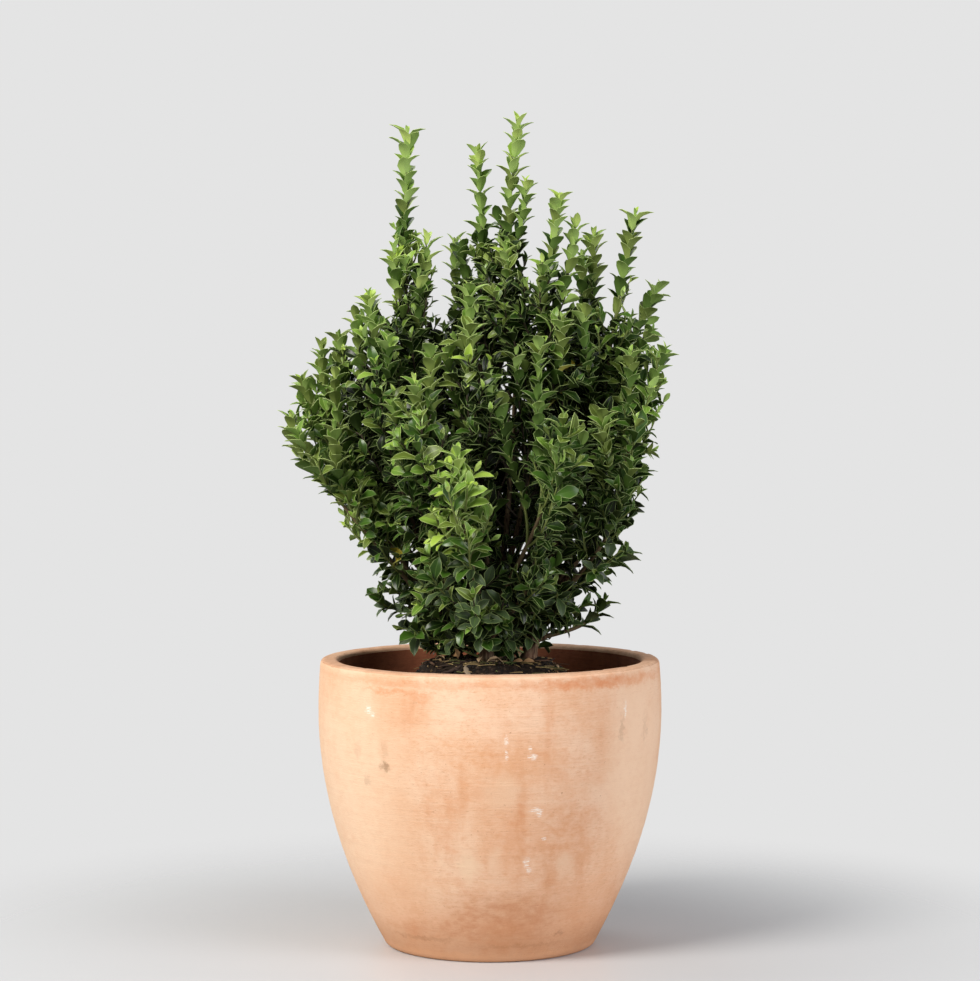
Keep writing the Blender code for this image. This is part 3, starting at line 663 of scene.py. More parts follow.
sideSpires = {
    # limb: upright side shoots, each with its bud in mm and the share of the limb's length where it leaves
    "left_spire": ((-110, -12, 806, 0.50), (-74, 4, 816, 0.52), (-82, -20, 776, 0.42)),
    "left_shoulder": ((-153, -46, 726, 0.55), (-116, -76, 700, 0.50)),
    "left_outer": ((-196, 4, 692, 0.56), (-178, -30, 664, 0.48)),
    "left_low": ((-228, -40, 612, 0.60), (-176, -90, 602, 0.55)),
    "left_foot": ((-128, -20, 410, 0.40), (-86, -50, 370, 0.25)),
    "front_left": ((-108, -112, 628, 0.55), (-66, -100, 690, 0.50)),
    "centre_left": ((-33, 30, 814, 0.55), (-4, 12, 796, 0.50)),
    "centre_spire": ((41, -8, 884, 0.66), (18, -22, 808, 0.50)),
    "front_centre": ((-24, -78, 760, 0.55), (1, -90, 662, 0.45), (-48, -74, 692, 0.50)),
    "right_inner": ((98, -22, 834, 0.62), (60, -34, 792, 0.50), (82, -60, 724, 0.36), (56, -70, 698, 0.32),
                    (30, -66, 686, 0.30)),
    "right_centre": ((108, 30, 800, 0.60),),
    "right_spire": ((107, -56, 735, 0.42),),
    "right_side": ((160, -58, 686, 0.55), (128, -90, 616, 0.42)),
    "right_low": ((156, -50, 462, 0.35),),
    "front_right": ((70, -140, 566, 0.55), (104, -120, 600, 0.60), (54, -114, 636, 0.55), (12, -110, 630, 0.42)),
    "back_left": ((-84, 124, 694, 0.50),),
    "back_right": ((72, 142, 690, 0.50),),
    "back_centre": ((-34, 160, 608, 0.50), (40, 170, 622, 0.55)),
    "centre_back": ((-14, 112, 752, 0.50),),
}

goldenAngle = math.radians(137.5)   # between a shoot and the next round its limb


def pickTint(rng, youth):
    # tints from deep to lime by how young and how well lit a spray is
    last = tintNames.index("lime")
    return tintNames[int(min(max(round(youth * last + rng.gauss(0, 0.75)), 0), last))]


def shadeDepth(point):
    return interpolate(point[2], *shootRule["shade"])


def clothe(foliage, path, rng, start, end, youth, kind, bounded, sizeShare=1.0):
    # opposite pairs of leaves along a shoot, each pair square to the last, closer at the tip
    turn = rng.uniform(0, math.tau)
    along, length = start, end - start
    tint = pickTint(rng, youth)
    spire = kind == "spire"
    habit = leafHabit["spire" if spire else "shoot"]
    olderShare, *older = youthAndShadeRule["downSpire"]
    while along < end - 0.003:
        share, toTip = (along - start) / max(length, 0.001), end - along
        heading, foot = path.heading(along), path.at(along)
        size = rng.uniform(*shootRule["leaf"]) * sizeShare
        size *= min(1.0, 0.78 + toTip / 0.060) * (0.86 + 0.14 * min(1.0, share * 3))
        opening = interpolate(toTip, *habit["opening"])
        leafTint = tint
        if spire and toTip > older[0][0] and rng.random() < olderShare:
            leafTint = pickTint(rng, youth + interpolate(toTip, *older))
        elif toTip < youthAndShadeRule["tipReach"] and rng.random() < youthAndShadeRule["tip"][0]:
            leafTint = pickTint(rng, min(youth + youthAndShadeRule["tip"][1], 1.0))
        elif rng.random() < youthAndShadeRule["other"][0]:
            leafTint = pickTint(rng, youth + youthAndShadeRule["other"][1])
        # leaves deep inside the crown and low on the right take the darkest tints: painted shade
        deep = insideCrown(foot)
        shaded = interpolate(deep, *shadeRule["depth"]) * interpolate(foot[2], *shadeRule["height"])
        lowRight = interpolate(foot[0], *shadeRule["right"]) * interpolate(foot[2], *shadeRule["rightHeight"])
        if bounded and rng.random() < max(shaded, lowRight * (foot[1] < 0)):
            leafTint = "deep" if rng.random() < shadeRule["deepest"] else "dark"
        elif foot[2] < shadeRule["dustyBelow"] and rng.random() < shadeRule["dusty"]:
            leafTint = "dusty"
        for half in (0, 1):
            side = across(heading, turn + half * math.pi + rng.gauss(0, 0.12))
            angle = math.radians(opening + rng.gauss(0, habit["loose"]))
            way = unit(heading * math.cos(angle) + side * math.sin(angle) + up * rng.uniform(-0.05, 0.10))
            reach = size * rng.uniform(0.88, 1.12)
            tip = foot + way * reach
            if bounded and (insideCrown(tip) < -roomRule["proud"]
                            or any(leftOpen(foot + way * reach * part) for part in (0.3, 0.65, 1.0))):
                continue
            if deep > shadeDepth(foot) + rng.gauss(0, 0.012):
                continue
            if not clearOfPot(tip) or not clearOfWood(tip) or not clearOfWood(foot + way * reach * 0.6):
                continue
            facing = unit(heading * 0.75 + up * 0.40 + unit(foot * (1, 1, 0)) * habit["outward"]
                          + np.array([rng.gauss(0, habit["loose"] * 0.024) for _ in range(3)]))
            use = "young" if toTip < 0.006 else kind
            if use == "body":
                use = rng.choice(("body", "body", "broad", "slim"))
            yellowed = tip[1] < 0 and any(abs(tip[0] - x) < 0.006 and abs(tip[2] - z) < 0.007 for x, z in yellowSpots)
            foliage.leaf(use, foot, way, facing, reach, rng.uniform(0.88, 1.12), "yellow" if yellowed else leafTint)
        wide, close = habit["gaps"]
        along += (wide + (close - wide) * max(0.0, 1 - toTip / 0.07)) * rng.uniform(0.88, 1.12)
        turn += math.pi / 2 + rng.gauss(0, 0.12)
    # the bud's own small leaves
    heading, foot = path.heading(end), path.at(end - 0.002)
    if not bounded or insideCrown(foot) < shadeDepth(foot):
        for half in (0, 1):
            way = unit(heading + across(heading, turn + half * math.pi) * rng.uniform(0.25, 0.45))
            foliage.leaf("young", foot, way, heading, 0.0140 * rng.uniform(0.8, 1.15) * sizeShare, 0.95,
                         pickTint(rng, min(youth + 0.30, 1.05)))


def youthAndShadeAt(point, rng):
    # shoots near the crown's top and skin carry younger, paler leaves; low on the right they are darker, painted
    # shade
    height = interpolate(point[2], *youthAndShadeRule["height"])
    skin = interpolate(insideCrown(point), *youthAndShadeRule["skin"])
    shaded = interpolate(point[0], *youthAndShadeRule["right"]) * interpolate(point[2], *youthAndShadeRule["rightHeight"])
    return height + skin - shaded + rng.gauss(0, 0.13)


def growPath(limb, start, way, length, rng, free=False):
    # a shoot's points, bending upwards, cut short where its room ends
    step = shootRule["step"]
    points = [start]
    for i in range(int(round(length / step))):
        wobble = np.array([rng.gauss(0, 0.035) for _ in range(3)])
        way = unit(way + up * shootRule["bend"] * step + wobble)
        point = points[-1] + way * step
        if i > 1 and (leftOpen(point) or not holds(limb, point, free)):
            break
        points.append(point)
    return points


def addTwig(foliage, points, thick, thin, sides, slot):
    # twigs deep inside the crown take a darker skin: painted shade
    if insideCrown(points[0]) > 0.05:
        slot = twigTones["shaded twig"]
    foliage.twigs.append((np.array(points), np.linspace(thick, thin, len(points)), sides, slot))


def growShoot(limb, foliage, start, way, length, rng, bonus, free=False):
    points = growPath(limb, start, way, length, rng, free)
    if len(points) * shootRule["step"] < 0.022:
        return
    path = Path(points)
    addTwig(foliage, points, 0.0015, 0.0008, 5, twigTones["green shoot"])
    bonus *= interpolate(points[-1][2], (0.44, 0.50), (0, 1))
    youth = float(np.clip(youthAndShadeAt(points[-1], rng) + bonus, 0.0, 1.0))
    clothe(foliage, path, rng, 0.009, path.length, youth, "body", True)
    # finer twigs in the axils of its leaves
    along, turn = 0.018, rng.uniform(0, math.tau)
    while along < path.length - 0.020:
        heading, start = path.heading(along), path.at(along)
        way = leaving(heading, across(heading, turn), shootRule["twigOpening"])
        length = min(rng.uniform(*shootRule["twigLength"]), (path.length - along) * 0.8)
        if insideCrown(start) < shadeDepth(start):
            points = growPath(limb, start, unit(way), length, rng)
            if len(points) > 3:
                addTwig(foliage, points, 0.0010, 0.0007, 4, twigTones["green twig"])
                twig = Path(points)
                clothe(foliage, twig, rng, 0.007, twig.length, youth + rng.gauss(0, 0.05), "body", True, 0.90)
        along += rng.uniform(0.014, 0.024)
        turn += goldenAngle


def leaving(heading, side, opening):
    # the way of a shoot that opens from its parent's heading by so many degrees
    return heading * math.cos(math.radians(opening)) + side * math.sin(math.radians(opening))


def growLeader(limb, foliage, rng, bonus):
    # from where the bare bough ends up to the bud, with the upright side shoots
    green = limb.spire - 0.02
    for start, end, tone in ((limb.entry - 0.004, green + 0.001, "young bark"),
                             (green, limb.length - 0.003, "green shoot")):
        marks = np.linspace(start, end, 24)
        foliage.twigs.append((np.array([limb.at(m) for m in marks]), [limb.radius(m) for m in marks], 7,
                              twigTones[tone]))
    youth = interpolate(limb.bud[2], *shootRule["spireYouth"]) + bonus
    clothe(foliage, limb, rng, limb.spire - 0.03, limb.length, youth, "spire", False)
    clothe(foliage, limb, rng, limb.entry + 0.02, limb.spire - 0.03, max(youth - 0.3, bonus), "body", True)
    for *bud, share in sideSpires.get(limb.name, ()):
        bud, start = np.array(bud) / 1000, limb.at(limb.length * share)
        span = np.linalg.norm(bud - start)
        grip = start + unit(limb.heading(limb.length * share) + unit(bud - start)) * span * 0.4
        points = curve(start, grip, bud - up * span * 0.4, bud, 16)
        addTwig(foliage, points, 0.0019, 0.0009, 6, twigTones["green shoot"])
        path = Path(points)
        youth = interpolate(bud[2], *shootRule["spireYouth"]) + bonus
        clothe(foliage, path, rng, path.length * 0.25, path.length, youth - 0.04, "spire", False, 0.95)


def growMass(limb, foliage):
    rng = random.Random("foliage " + limb.name)
    bonus = limbYouthAndShade.get(limb.name, 0.0)
    growLeader(limb, foliage, rng, bonus)
    turn = rng.uniform(0, math.tau)
    if limb.name in basalLimbs:
        foot, fork = stemLine(limb.stem)
        for i in range(shootRule["basal"]):
            side = np.array((math.cos(turn), math.sin(turn), 0.0))
            start = foot + (fork - foot) * rng.uniform(0.15, 1.0) + side * stemShape["radius"] * 0.8
            growShoot(limb, foliage, start, unit(side + up * rng.uniform(-0.10, 0.55)),
                      rng.uniform(*shootRule["basalLength"]), rng, bonus, True)
            turn += goldenAngle
    # short shoots on the bare bough hide the plant's foot
    along = 0.010
    while along < limb.entry + 0.010:
        heading, side = limb.heading(along), limb.side(along, turn)
        start = limb.at(along) + side * limb.radius(along) * 0.7
        way = unit(heading * 0.45 + side + up * rng.uniform(-0.15, 0.25))
        growShoot(limb, foliage, start, way, rng.uniform(*shootRule["skirtLength"]), rng, bonus)
        turn += goldenAngle
        along += shootRule["skirtEvery"] * rng.uniform(0.85, 1.15)
    while along < limb.length - max(limb.tipDepth, 0.03):
        way = leaving(limb.heading(along), limb.side(along, turn), shootRule["opening"])
        length = rng.choice(shootRule["lengths"]) * rng.uniform(0.85, 1.1)
        growShoot(limb, foliage, limb.at(along), unit(way + up * shootRule["lift"]), length, rng, bonus)
        turn += goldenAngle * rng.uniform(0.9, 1.1)
        along += shootRule["every"] * rng.uniform(0.85, 1.15)


# the limbs whose masses hold the low shoots of their stems
basalLimbs = ("left_foot", "front_left_foot", "front_centre", "right_foot", "back_foot")

# the skins of twigs, thin and matt: bark on last year's wood, green on this year's, and darker deep inside the crown,
# painted shade
barkTones = {"young bark": ("#6b5a3e", 0.75), "green shoot": ("#6f7a3e", 0.6), "green twig": ("#74843f", 0.6),
             "shaded twig": ("#3d3424", 0.8)}
twigTones = {name: slot for slot, name in enumerate(barkTones)}
twigMaterials = [newMaterial(name, *look) for name, look in barkTones.items()]

for limb in limbs.values():
    foliage = Foliage()
    growMass(limb, foliage)
    settle(foliage.leafPiece(f"leaves_{limb.name}"), 40, "foliage", f"foliage_{limb.name}")
    settle(foliage.twigPiece(f"twigs_{limb.name}", twigMaterials), 60, "bark", f"foliage_{limb.name}")
    print("mass", limb.name, sum(map(len, foliage.leaves.values())), "leaves,", len(foliage.twigs), "twigs")


# stems and bare boughs: one skin of bark over each stem and the limbs that fork from it

barkRelief = {
    "voxel": 0.0012,
    # furrows, flakes and knots: width, length, depth
    "waves": ((0.0034, 0.020, 0.00075), (0.0016, 0.004, 0.0005), (0.012, 0.014, 0.0012)),
    # a stem's shares of its height, and of its flare
    "stem": ((-0.08, 1.10), (0.00, 1.00), (0.12, 0.86), (0.24, 0.74), (0.40, 0.64), (0.68, 0.60), (1.00, 0.56)),
}


def barkMaterial():
    # grey-brown bark, split along its length, pinkish where it is young
    made = newMaterial("split bark", "#7a6754", 0.85, Specular_IOR_Level=0.25)
    tree = made.node_tree
    shader = tree.nodes["Principled BSDF"]
    seat = addNode(tree, "TexCoord").outputs["Object"]
    long = addNode(tree, "Mapping", {"Vector": seat, "Scale": (1, 1, 0.22)}).outputs[0]
    fissures = addNode(tree, "TexNoise", {"Vector": long, "Scale": 330, "Detail": 6,
                                          "Roughness": 0.62}).outputs["Fac"]
    patches = addNode(tree, "TexNoise", {"Vector": seat, "Scale": 55, "Detail": 3}).outputs["Fac"]
    tones = addNode(tree, "ValToRGB", {"Fac": fissures})
    setRamp(tones.color_ramp, (0.34, "#2c231b"), (0.50, "#66543f"), (0.66, "#8c7a60"))
    share = addNode(tree, "MapRange", {"Value": patches, "From Min": 0.42, "From Max": 0.70, "To Max": 0.5})
    pink = addNode(tree, "Mix", {"Factor": share.outputs[0], "A": tones.outputs["Color"],
                                 "B": colour("#6e4636")}, data_type="RGBA")
    tree.links.new(pink.outputs[2], shader.inputs["Base Color"])
    bump = addNode(tree, "Bump", {"Height": fissures, "Strength": 0.6, "Distance": 0.0006})
    tree.links.new(bump.outputs[0], shader.inputs["Normal"])
    return made


splitBark = barkMaterial()


def modelWood(stem):
    vertices, faces = [], []
    foot, fork = stemLine(stem)
    addTube(vertices, faces, [foot + (fork - foot) * height for height, flare in barkRelief["stem"]],
            [flare * stemShape["flare"] for height, flare in barkRelief["stem"]], 14)
    grown = [limb for limb in limbs.values() if limb.stem == stem]
    for limb in grown:
        marks = np.arange(0, limb.entry + 0.003, 0.004)
        addTube(vertices, faces, [limb.at(m) for m in marks], [limb.radius(m) for m in marks], 12)
    piece = newPiece(f"wood_{stem}", vertices, faces, [splitBark])
    applyModifier(piece, "REMESH", mode="VOXEL", voxel_size=barkRelief["voxel"])
    applyModifier(piece, "SMOOTH", factor=0.5, iterations=2)
    for vertex in piece.data.vertices:
        x, y, z = vertex.co
        vertex.co += vertex.normal * sum(depth * noise.noise(Vector((x / wide, y / wide, z / tall)))
                                         for wide, tall, depth in barkRelief["waves"])
    settle(piece, 70, "bark", f"stem_{stem}", *[f"bough_{limb.name}" for limb in grown if not limb.low])
    print("wood", stem, len(piece.data.polygons), "faces")


for stem in stemFeet:
    modelWood(stem)


# the pot: turned terracotta, drawn up ring by ring from its foot over the rim and down the inside

potShape = {"height": 0.333, "footRadius": 0.121, "bellyRadius": 0.200, "bellyHeight": 0.272, "mouthRadius": 0.197,
            "swell": 1.93, "wall": 0.021, "floor": 0.022, "footEdge": 0.003, "rimRound": 0.005,
            "around": 168, "levels": 96, "insideLevels": 26}


def potRadius(height):
    belly, top = potShape["bellyHeight"], potShape["height"]
    if height < belly:
        share = ((belly - height) / belly) ** potShape["swell"]
        return potShape["bellyRadius"] - (potShape["bellyRadius"] - potShape["footRadius"]) * share
    share = ((height - belly) / (top - belly)) ** 2
    return potShape["bellyRadius"] - (potShape["bellyRadius"] - potShape["mouthRadius"]) * share


def potProfile():
    edge, low = potShape["footEdge"], potShape["height"] - potShape["rimRound"]
    profile = [(potShape["footRadius"] - edge, 0.0), (potShape["footRadius"] - edge * 0.3, edge * 0.3)]
    profile += [(potRadius(z), z) for z in np.linspace(edge, low, potShape["levels"])]
    outer, inner, bend = potRadius(low), potRadius(low) - potShape["wall"], potShape["rimRound"]
    turns = np.linspace(0, math.pi / 2, 6)
    profile += [(outer - bend * (1 - math.cos(t)), low + bend * math.sin(t)) for t in turns[1:]]
    flat = np.linspace(outer - bend, inner + bend, 5)[1:]
    profile += [(r, potShape["height"]) for r in flat]
    profile += [(inner + bend * (1 - math.cos(t)), low + bend * math.sin(t)) for t in turns[::-1][1:]]
    profile += [(potRadius(z) - potShape["wall"], z)
                for z in np.linspace(low, potShape["floor"], potShape["insideLevels"])[1:]]
    return profile


def throwingMarks(pot):
    # fine ridges left by the turning, a slightly uneven round and small chips along the rim
    for vertex in pot.data.vertices:
        x, y, z = vertex.co
        r = math.hypot(x, y)
        if z < 0.002 or r < 0.100 and z < 0.03:
            continue
        way = Vector((x / r, y / r, 0))
        angle = math.atan2(y, x)
        ridge = noise.noise(Vector((math.cos(angle) * 0.6, math.sin(angle) * 0.6, z * 420))) * 0.00022
        waver = noise.noise(Vector((x * 9, y * 9, z * 6))) * 0.0007
        outside = r > potRadius(min(z, potShape["height"])) - potShape["wall"] / 2
        vertex.co += way * ((ridge + waver) if outside else waver)
        if z > potShape["height"] - potShape["rimRound"] * 0.9:
            chip = noise.noise(Vector((x * 95, y * 95, 3.1))) - 0.42
            vertex.co.z += noise.noise(Vector((x * 30, y * 30, 7.7))) * 0.0004 - max(chip, 0) * 0.006


# unglazed fired clay, wiped smooth on the wheel and weathered: matt and clouded, with level turning lines
potTones = {
    "weathered terracotta": {"base": "#e8b894", "pale": "#f2ceb0", "warm": "#dd9f76", "dark": "#bd8760"},
    "worn terracotta rim": {"base": "#d2a484", "pale": "#e2ba9b", "warm": "#b98362", "dark": "#875b44"},
    "damp terracotta": {"base": "#8a5036", "pale": "#a26446", "warm": "#70402c", "dark": "#452619"},
}

potPatterns = {
    # pattern: stretch, scale, detail, roughness
    "clouds": ((1, 1, 0.8), 11, 5, 0.60),    # 90 mm
    "patches": ((1, 1, 0.55), 27, 5, 0.62),  # 40 mm
    "mottle": ((1, 1, 1.7), 75, 6, 0.70),    # 12 mm
    "lines": ((1, 1, 60), 7, 6, 0.68),       # 2.5 mm apart
    "runs": ((1, 1, 0.12), 38, 4, 0.60),     # 25 mm
    "fine": ((1, 1, 6), 150, 6, 0.74),
    "grain": ((1, 1, 1.6), 950, 3, 0.60),    # 1 mm
    "pits": ((1, 1, 1), 420, 2, 0.50),
}

potLayers = (
    # pattern, value where the tone starts, value where it is full, strength, tone
    ("clouds", 0.36, 0.64, 1.00, "base"),
    ("patches", 0.48, 0.78, 0.60, "warm"),
    ("mottle", 0.48, 0.70, 0.30, "warm"),
    ("mottle", 0.46, 0.28, 0.30, "pale"),
    ("runs", 0.54, 0.74, 0.36, "warm"),
    ("patches", 0.44, 0.24, 0.55, "pale"),
    ("lines", 0.50, 0.74, 0.26, "warm"),
    ("lines", 0.46, 0.30, 0.34, "pale"),
    ("fine", 0.50, 0.74, 0.55, "dark"),
    ("fine", 0.47, 0.28, 0.60, "pale"),
)

potBands = (
    # darker towards the foot, partly dirt and damp and partly painted shade where the side turns down from the light:
    # height where it starts, height where it is full, strength, tone
    (0.120, 0.030, 0.40, "#c58a62"),
    (0.050, 0.016, 0.42, "#ae7850"),
    (0.014, 0.006, 0.60, "#d6a27c"),
)

potMarks = (
    # what the weather left, and painted light and shade on the sides: x and z of its middle, half width, half height
    # in mm, tone, strength
    (-165, 190, 75, 170, "#f4d4b6", 0.75),   # paler where it is bleached, warmer where damp; this wide pale mark on the left is also painted light, where the key falls
    (-105, 110, 45, 80, "#f0cdae", 0.4),
    # painted shade: warmer and darker over the middle, which the lights reach least
    (55, 190, 80, 180, "#dca078", 0.3),
    # painted light: paler on the right side, where the fill falls
    (165, 215, 40, 130, "#f4d0b0", 0.9),
    (-30, 252, 50, 30, "#dd9c6b", 0.45),
    (20, 236, 70, 26, "#da9968", 0.42),
    (34, 168, 8, 75, "#cf8450", 0.45),   # orange runs
    (28, 140, 30, 60, "#dd9a6c", 0.38),
    (-30, 205, 8, 30, "#d58e5a", 0.38),
    (-40, 175, 12, 60, "#dc9c70", 0.36),
    (85, 150, 34, 50, "#d6905f", 0.5),
    (66, 110, 10, 30, "#cc8350", 0.36),
    (100, 105, 8, 30, "#ce8553", 0.34),
    (12, 55, 75, 36, "#bb7648", 0.52),
    (-60, 40, 60, 14, "#bf7d54", 0.42),
    (15, 205, 24, 26, "#ecc8a8", 0.62),   # lime bloom
    (-24, 118, 14, 20, "#efd0b0", 0.66),
    (6, 125, 10, 22, "#efcdae", 0.5),
    (83, 118, 14, 18, "#efcfb1", 0.6),
    (66, 192, 50, 3, "#efd3ba", 0.3),
    (-117, 229, 6, 7, "#8f6a4c", 0.6),   # scuffs and moss stains
    (-117, 247, 4, 12, "#b58c6c", 0.36),
    (-148, 243, 4, 12, "#c09576", 0.36),
    (-138, 210, 6, 6, "#b99377", 0.4),
    (-60, 252, 7, 7, "#c79676", 0.2),
    (148, 268, 3, 18, "#ad8a6e", 0.42),
    (176, 262, 3, 20, "#b89074", 0.36),
    (-100, 312, 50, 3, "#d98650", 0.45),
    (-75, 306, 14, 6, "#d98650", 0.48),
    (120, 321, 85, 8, "#d98550", 0.62),
    (-60, 322, 150, 6, "#dc9466", 0.44),
    (-75, 26, 40, 3, "#8c6848", 0.5),
    (78, 32, 6, 4, "#6f4f36", 0.6),
    (30, 20, 60, 3, "#9a6f4c", 0.45),
)

chalkMarks = {
    "tone": "#fbf1e6", "strength": 0.80,
    "at": ((51, 183, 7.5, 3), (55, 179, 3.5, 5), (41, 121, 3.5, 7),
           (44, 113, 3, 4), (18, 262, 2.2, 6), (18, 246, 2.2, 6),
           (44, 252, 2.5, 4), (47, 243, 6, 4), (-136, 290, 3.5, 6),
           (-131, 285, 3, 4), (152, 288, 1.5, 10), (60, 150, 3, 2)),
}


def terracotta(name, marked):
    # marks are laid over the layers, ragged at their edges, and on the front half alone
    tones = potTones[name]
    made = newMaterial(name, tones["base"], 0.90, Specular_IOR_Level=0.2)
    tree = made.node_tree
    shader = tree.nodes["Principled BSDF"]
    seat = addNode(tree, "TexCoord").outputs["Object"]
    pattern = {}
    for key, (stretch, scale, detail, rough) in potPatterns.items():
        flat = addNode(tree, "Mapping", {"Vector": seat, "Scale": stretch}).outputs[0]
        pattern[key] = addNode(tree, "TexNoise", {"Vector": flat, "Scale": scale, "Detail": detail,
                                                  "Roughness": rough}).outputs["Fac"]
    layers = [(pattern[key], start, full, most, tones[over]) for key, start, full, most, over in potLayers]
    # the place is pushed about before a mark's distance is measured
    ragged = addNode(tree, "TexNoise", {"Vector": seat, "Scale": 80, "Detail": 8, "Roughness": 0.75}).outputs["Color"]
    centred = addNode(tree, "VectorMath", {0: ragged, 1: (0.5, 0.5, 0.5)}, operation="SUBTRACT").outputs[0]
    wobbly, scratched = [addNode(tree, "VectorMath", {0: centred, 1: (push, push, push), 2: seat},
                                 operation="MULTIPLY_ADD").outputs[0] for push in (0.026, 0.012)]
    y = addNode(tree, "SeparateXYZ", {"Vector": seat}).outputs["Y"]
    front = addNode(tree, "Math", {0: y, 1: 0.0}, operation="LESS_THAN").outputs[0]
    broken = addNode(tree, "MapRange", {"Value": pattern["fine"], "From Min": 0.42, "From Max": 0.56},
                     interpolation_type="SMOOTHSTEP").outputs[0]
    patchy = addNode(tree, "MapRange", {"Value": pattern["mottle"], "From Min": 0.34, "From Max": 0.62,
                                        "To Min": 0.62}).outputs[0]
    marks = [(*mark, wobbly, patchy) for mark in potMarks]
    marks += [(*at, chalkMarks["tone"], chalkMarks["strength"], scratched, broken) for at in chalkMarks["at"]]
    if marked:
        layers.append((pattern["pits"], 0.71, 0.76, 0.6, "#9a6240"))
    for x, z, wide, tall, over, most, pushed, worn in (marks if marked else ()):
        off = addNode(tree, "Mapping", {"Vector": pushed, "Location": (-x / wide, 0, -z / tall),
                                        "Scale": (1000 / wide, 0, 1000 / tall)}).outputs[0]
        off = addNode(tree, "VectorMath", {0: off}, operation="LENGTH").outputs["Value"]
        shown = addNode(tree, "MapRange", {"Value": off, "From Min": 1.45, "From Max": 0.35, "To Max": most},
                        interpolation_type="SMOOTHSTEP").outputs[0]
        for share in (front, worn):
            shown = addNode(tree, "Math", {0: shown, 1: share}, operation="MULTIPLY").outputs[0]
        layers.append((shown, 0.0, 1.0, 1.0, over))
    if marked:
        # darker towards the foot: dirt and damp, and painted shade under the turned-in side
        low = addNode(tree, "SeparateXYZ", {"Vector": wobbly}).outputs["Z"]
        layers += [(low, start, full, most, over) for start, full, most, over in potBands]
    tone = colour(tones["pale"])
    for value, start, full, most, over in layers:
        amount = addNode(tree, "MapRange", {"Value": value, "From Min": start, "From Max": full, "To Max": most},
                         interpolation_type="SMOOTHSTEP").outputs[0]
        tone = addNode(tree, "Mix", {"Factor": amount, "A": tone, "B": colour(over)}, data_type="RGBA").outputs[2]
    tree.links.new(tone, shader.inputs["Base Color"])
    height = pattern["lines"]
    for key in ("grain", "fine"):
        height = addNode(tree, "Math", {0: height, 1: pattern[key]}, operation="ADD").outputs[0]
    bump = addNode(tree, "Bump", {"Height": height, "Strength": 0.5, "Distance": 0.0006})
    tree.links.new(bump.outputs[0], shader.inputs["Normal"])
    return made


pot = turnShape("pot_turned", potProfile(), potShape["around"])
throwingMarks(pot)
for name in potTones:
    pot.data.materials.append(terracotta(name, name == "weathered terracotta"))
for polygon in pot.data.polygons:
    x, y, z = polygon.center
    r = math.hypot(x, y)
    if z > potShape["height"] - (0.0022 if r > potRadius(z) - potShape["wall"] / 2 else 0.0045):
        polygon.material_index = 1
    elif r < potRadius(z) - potShape["wall"] / 2 and z > 0.01:
        polygon.material_index = 2
settle(pot, 50, "terracotta", "pot")
print("pot:", len(pot.data.polygons), "faces")


# potting soil: a crumbly mound with bark chips, dry leaves and straw on it

soilLook = {"around": 150, "rings": 64, "swell": 0.0040, "crumb": 0.0013, "crumbs": 3000, "chips": 150,
            # heaps about the stems: x, y, reach, rise
            "heaps": ((-0.046, -0.034, 0.040, 0.0090), (0.004, -0.040, 0.045, 0.0030),
                      (0.062, -0.034, 0.042, 0.0050)),
            "compost": ((0.36, "#0f0b07"), (0.52, "#20170f"), (0.68, "#41342a"))}


def soilSurface(x, y):
    swell = noise.noise(Vector((x * 22, y * 22, 1.3))) * soilLook["swell"]
    crumb = noise.noise(Vector((x * 230, y * 230, 5.1))) + 0.6 * noise.noise(Vector((x * 480, y * 480, 2.7)))
    heap = sum(rise * math.exp(-((x - hx) ** 2 + (y - hy) ** 2) / reach ** 2)
               for hx, hy, reach, rise in soilLook["heaps"])
    return soilHeight(math.hypot(x, y)) + swell + heap + crumb * soilLook["crumb"]


def compost():
    # damp peaty potting soil: dark, matt and crumbly, mottled every 4 mm
    made = newMaterial("potting compost", soilLook["compost"][1][1], 0.95, Specular_IOR_Level=0.2)
    tree = made.node_tree
    shader = tree.nodes["Principled BSDF"]
    seat = addNode(tree, "TexCoord").outputs["Object"]
    mottle = addNode(tree, "TexNoise", {"Vector": seat, "Scale": 260, "Detail": 6, "Roughness": 0.65}).outputs["Fac"]
    tones = addNode(tree, "ValToRGB", {"Fac": mottle})
    setRamp(tones.color_ramp, *soilLook["compost"])
    tree.links.new(tones.outputs["Color"], shader.inputs["Base Color"])
    bump = addNode(tree, "Bump", {"Height": mottle, "Strength": 0.5, "Distance": 0.001})
    tree.links.new(bump.outputs[0], shader.inputs["Normal"])
    return made


def modelSoil():
    bed, rings = soilShape["bed"], soilLook["rings"]
    edge = potRadius(bed) - potShape["wall"] - 0.0004
    profile = [(edge, bed - 0.02)] + [(edge * (1 - ring / rings), bed) for ring in range(rings)]
    soil = turnShape("soil_mound", profile, soilLook["around"])
    for vertex in soil.data.vertices:
        x, y, z = vertex.co
        if z > bed - 0.01:
            level, wall = soilHeight(math.hypot(x, y)), min(1.0, (edge - math.hypot(x, y)) / 0.012)
            vertex.co.z = level + (soilSurface(x, y) - level) * wall
            if wall > 0.3:
                vertex.co.x += noise.noise(Vector((x * 260, y * 260, 9.0))) * 0.0012
                vertex.co.y += noise.noise(Vector((x * 260, y * 260, 19.0))) * 0.0012
    soil.data.materials.append(compost())
    settle(soil, 60, "compost", "soil")


def lumpShape():
    # one crumb: a knocked-about ball of a few faces
    lump = primitive(bpy.ops.mesh.primitive_ico_sphere_add, subdivisions=1, radius=1)
    rng = random.Random("crumb")
    for vertex in lump.data.vertices:
        vertex.co *= rng.uniform(0.62, 1.25)
    return takeShape(lump)


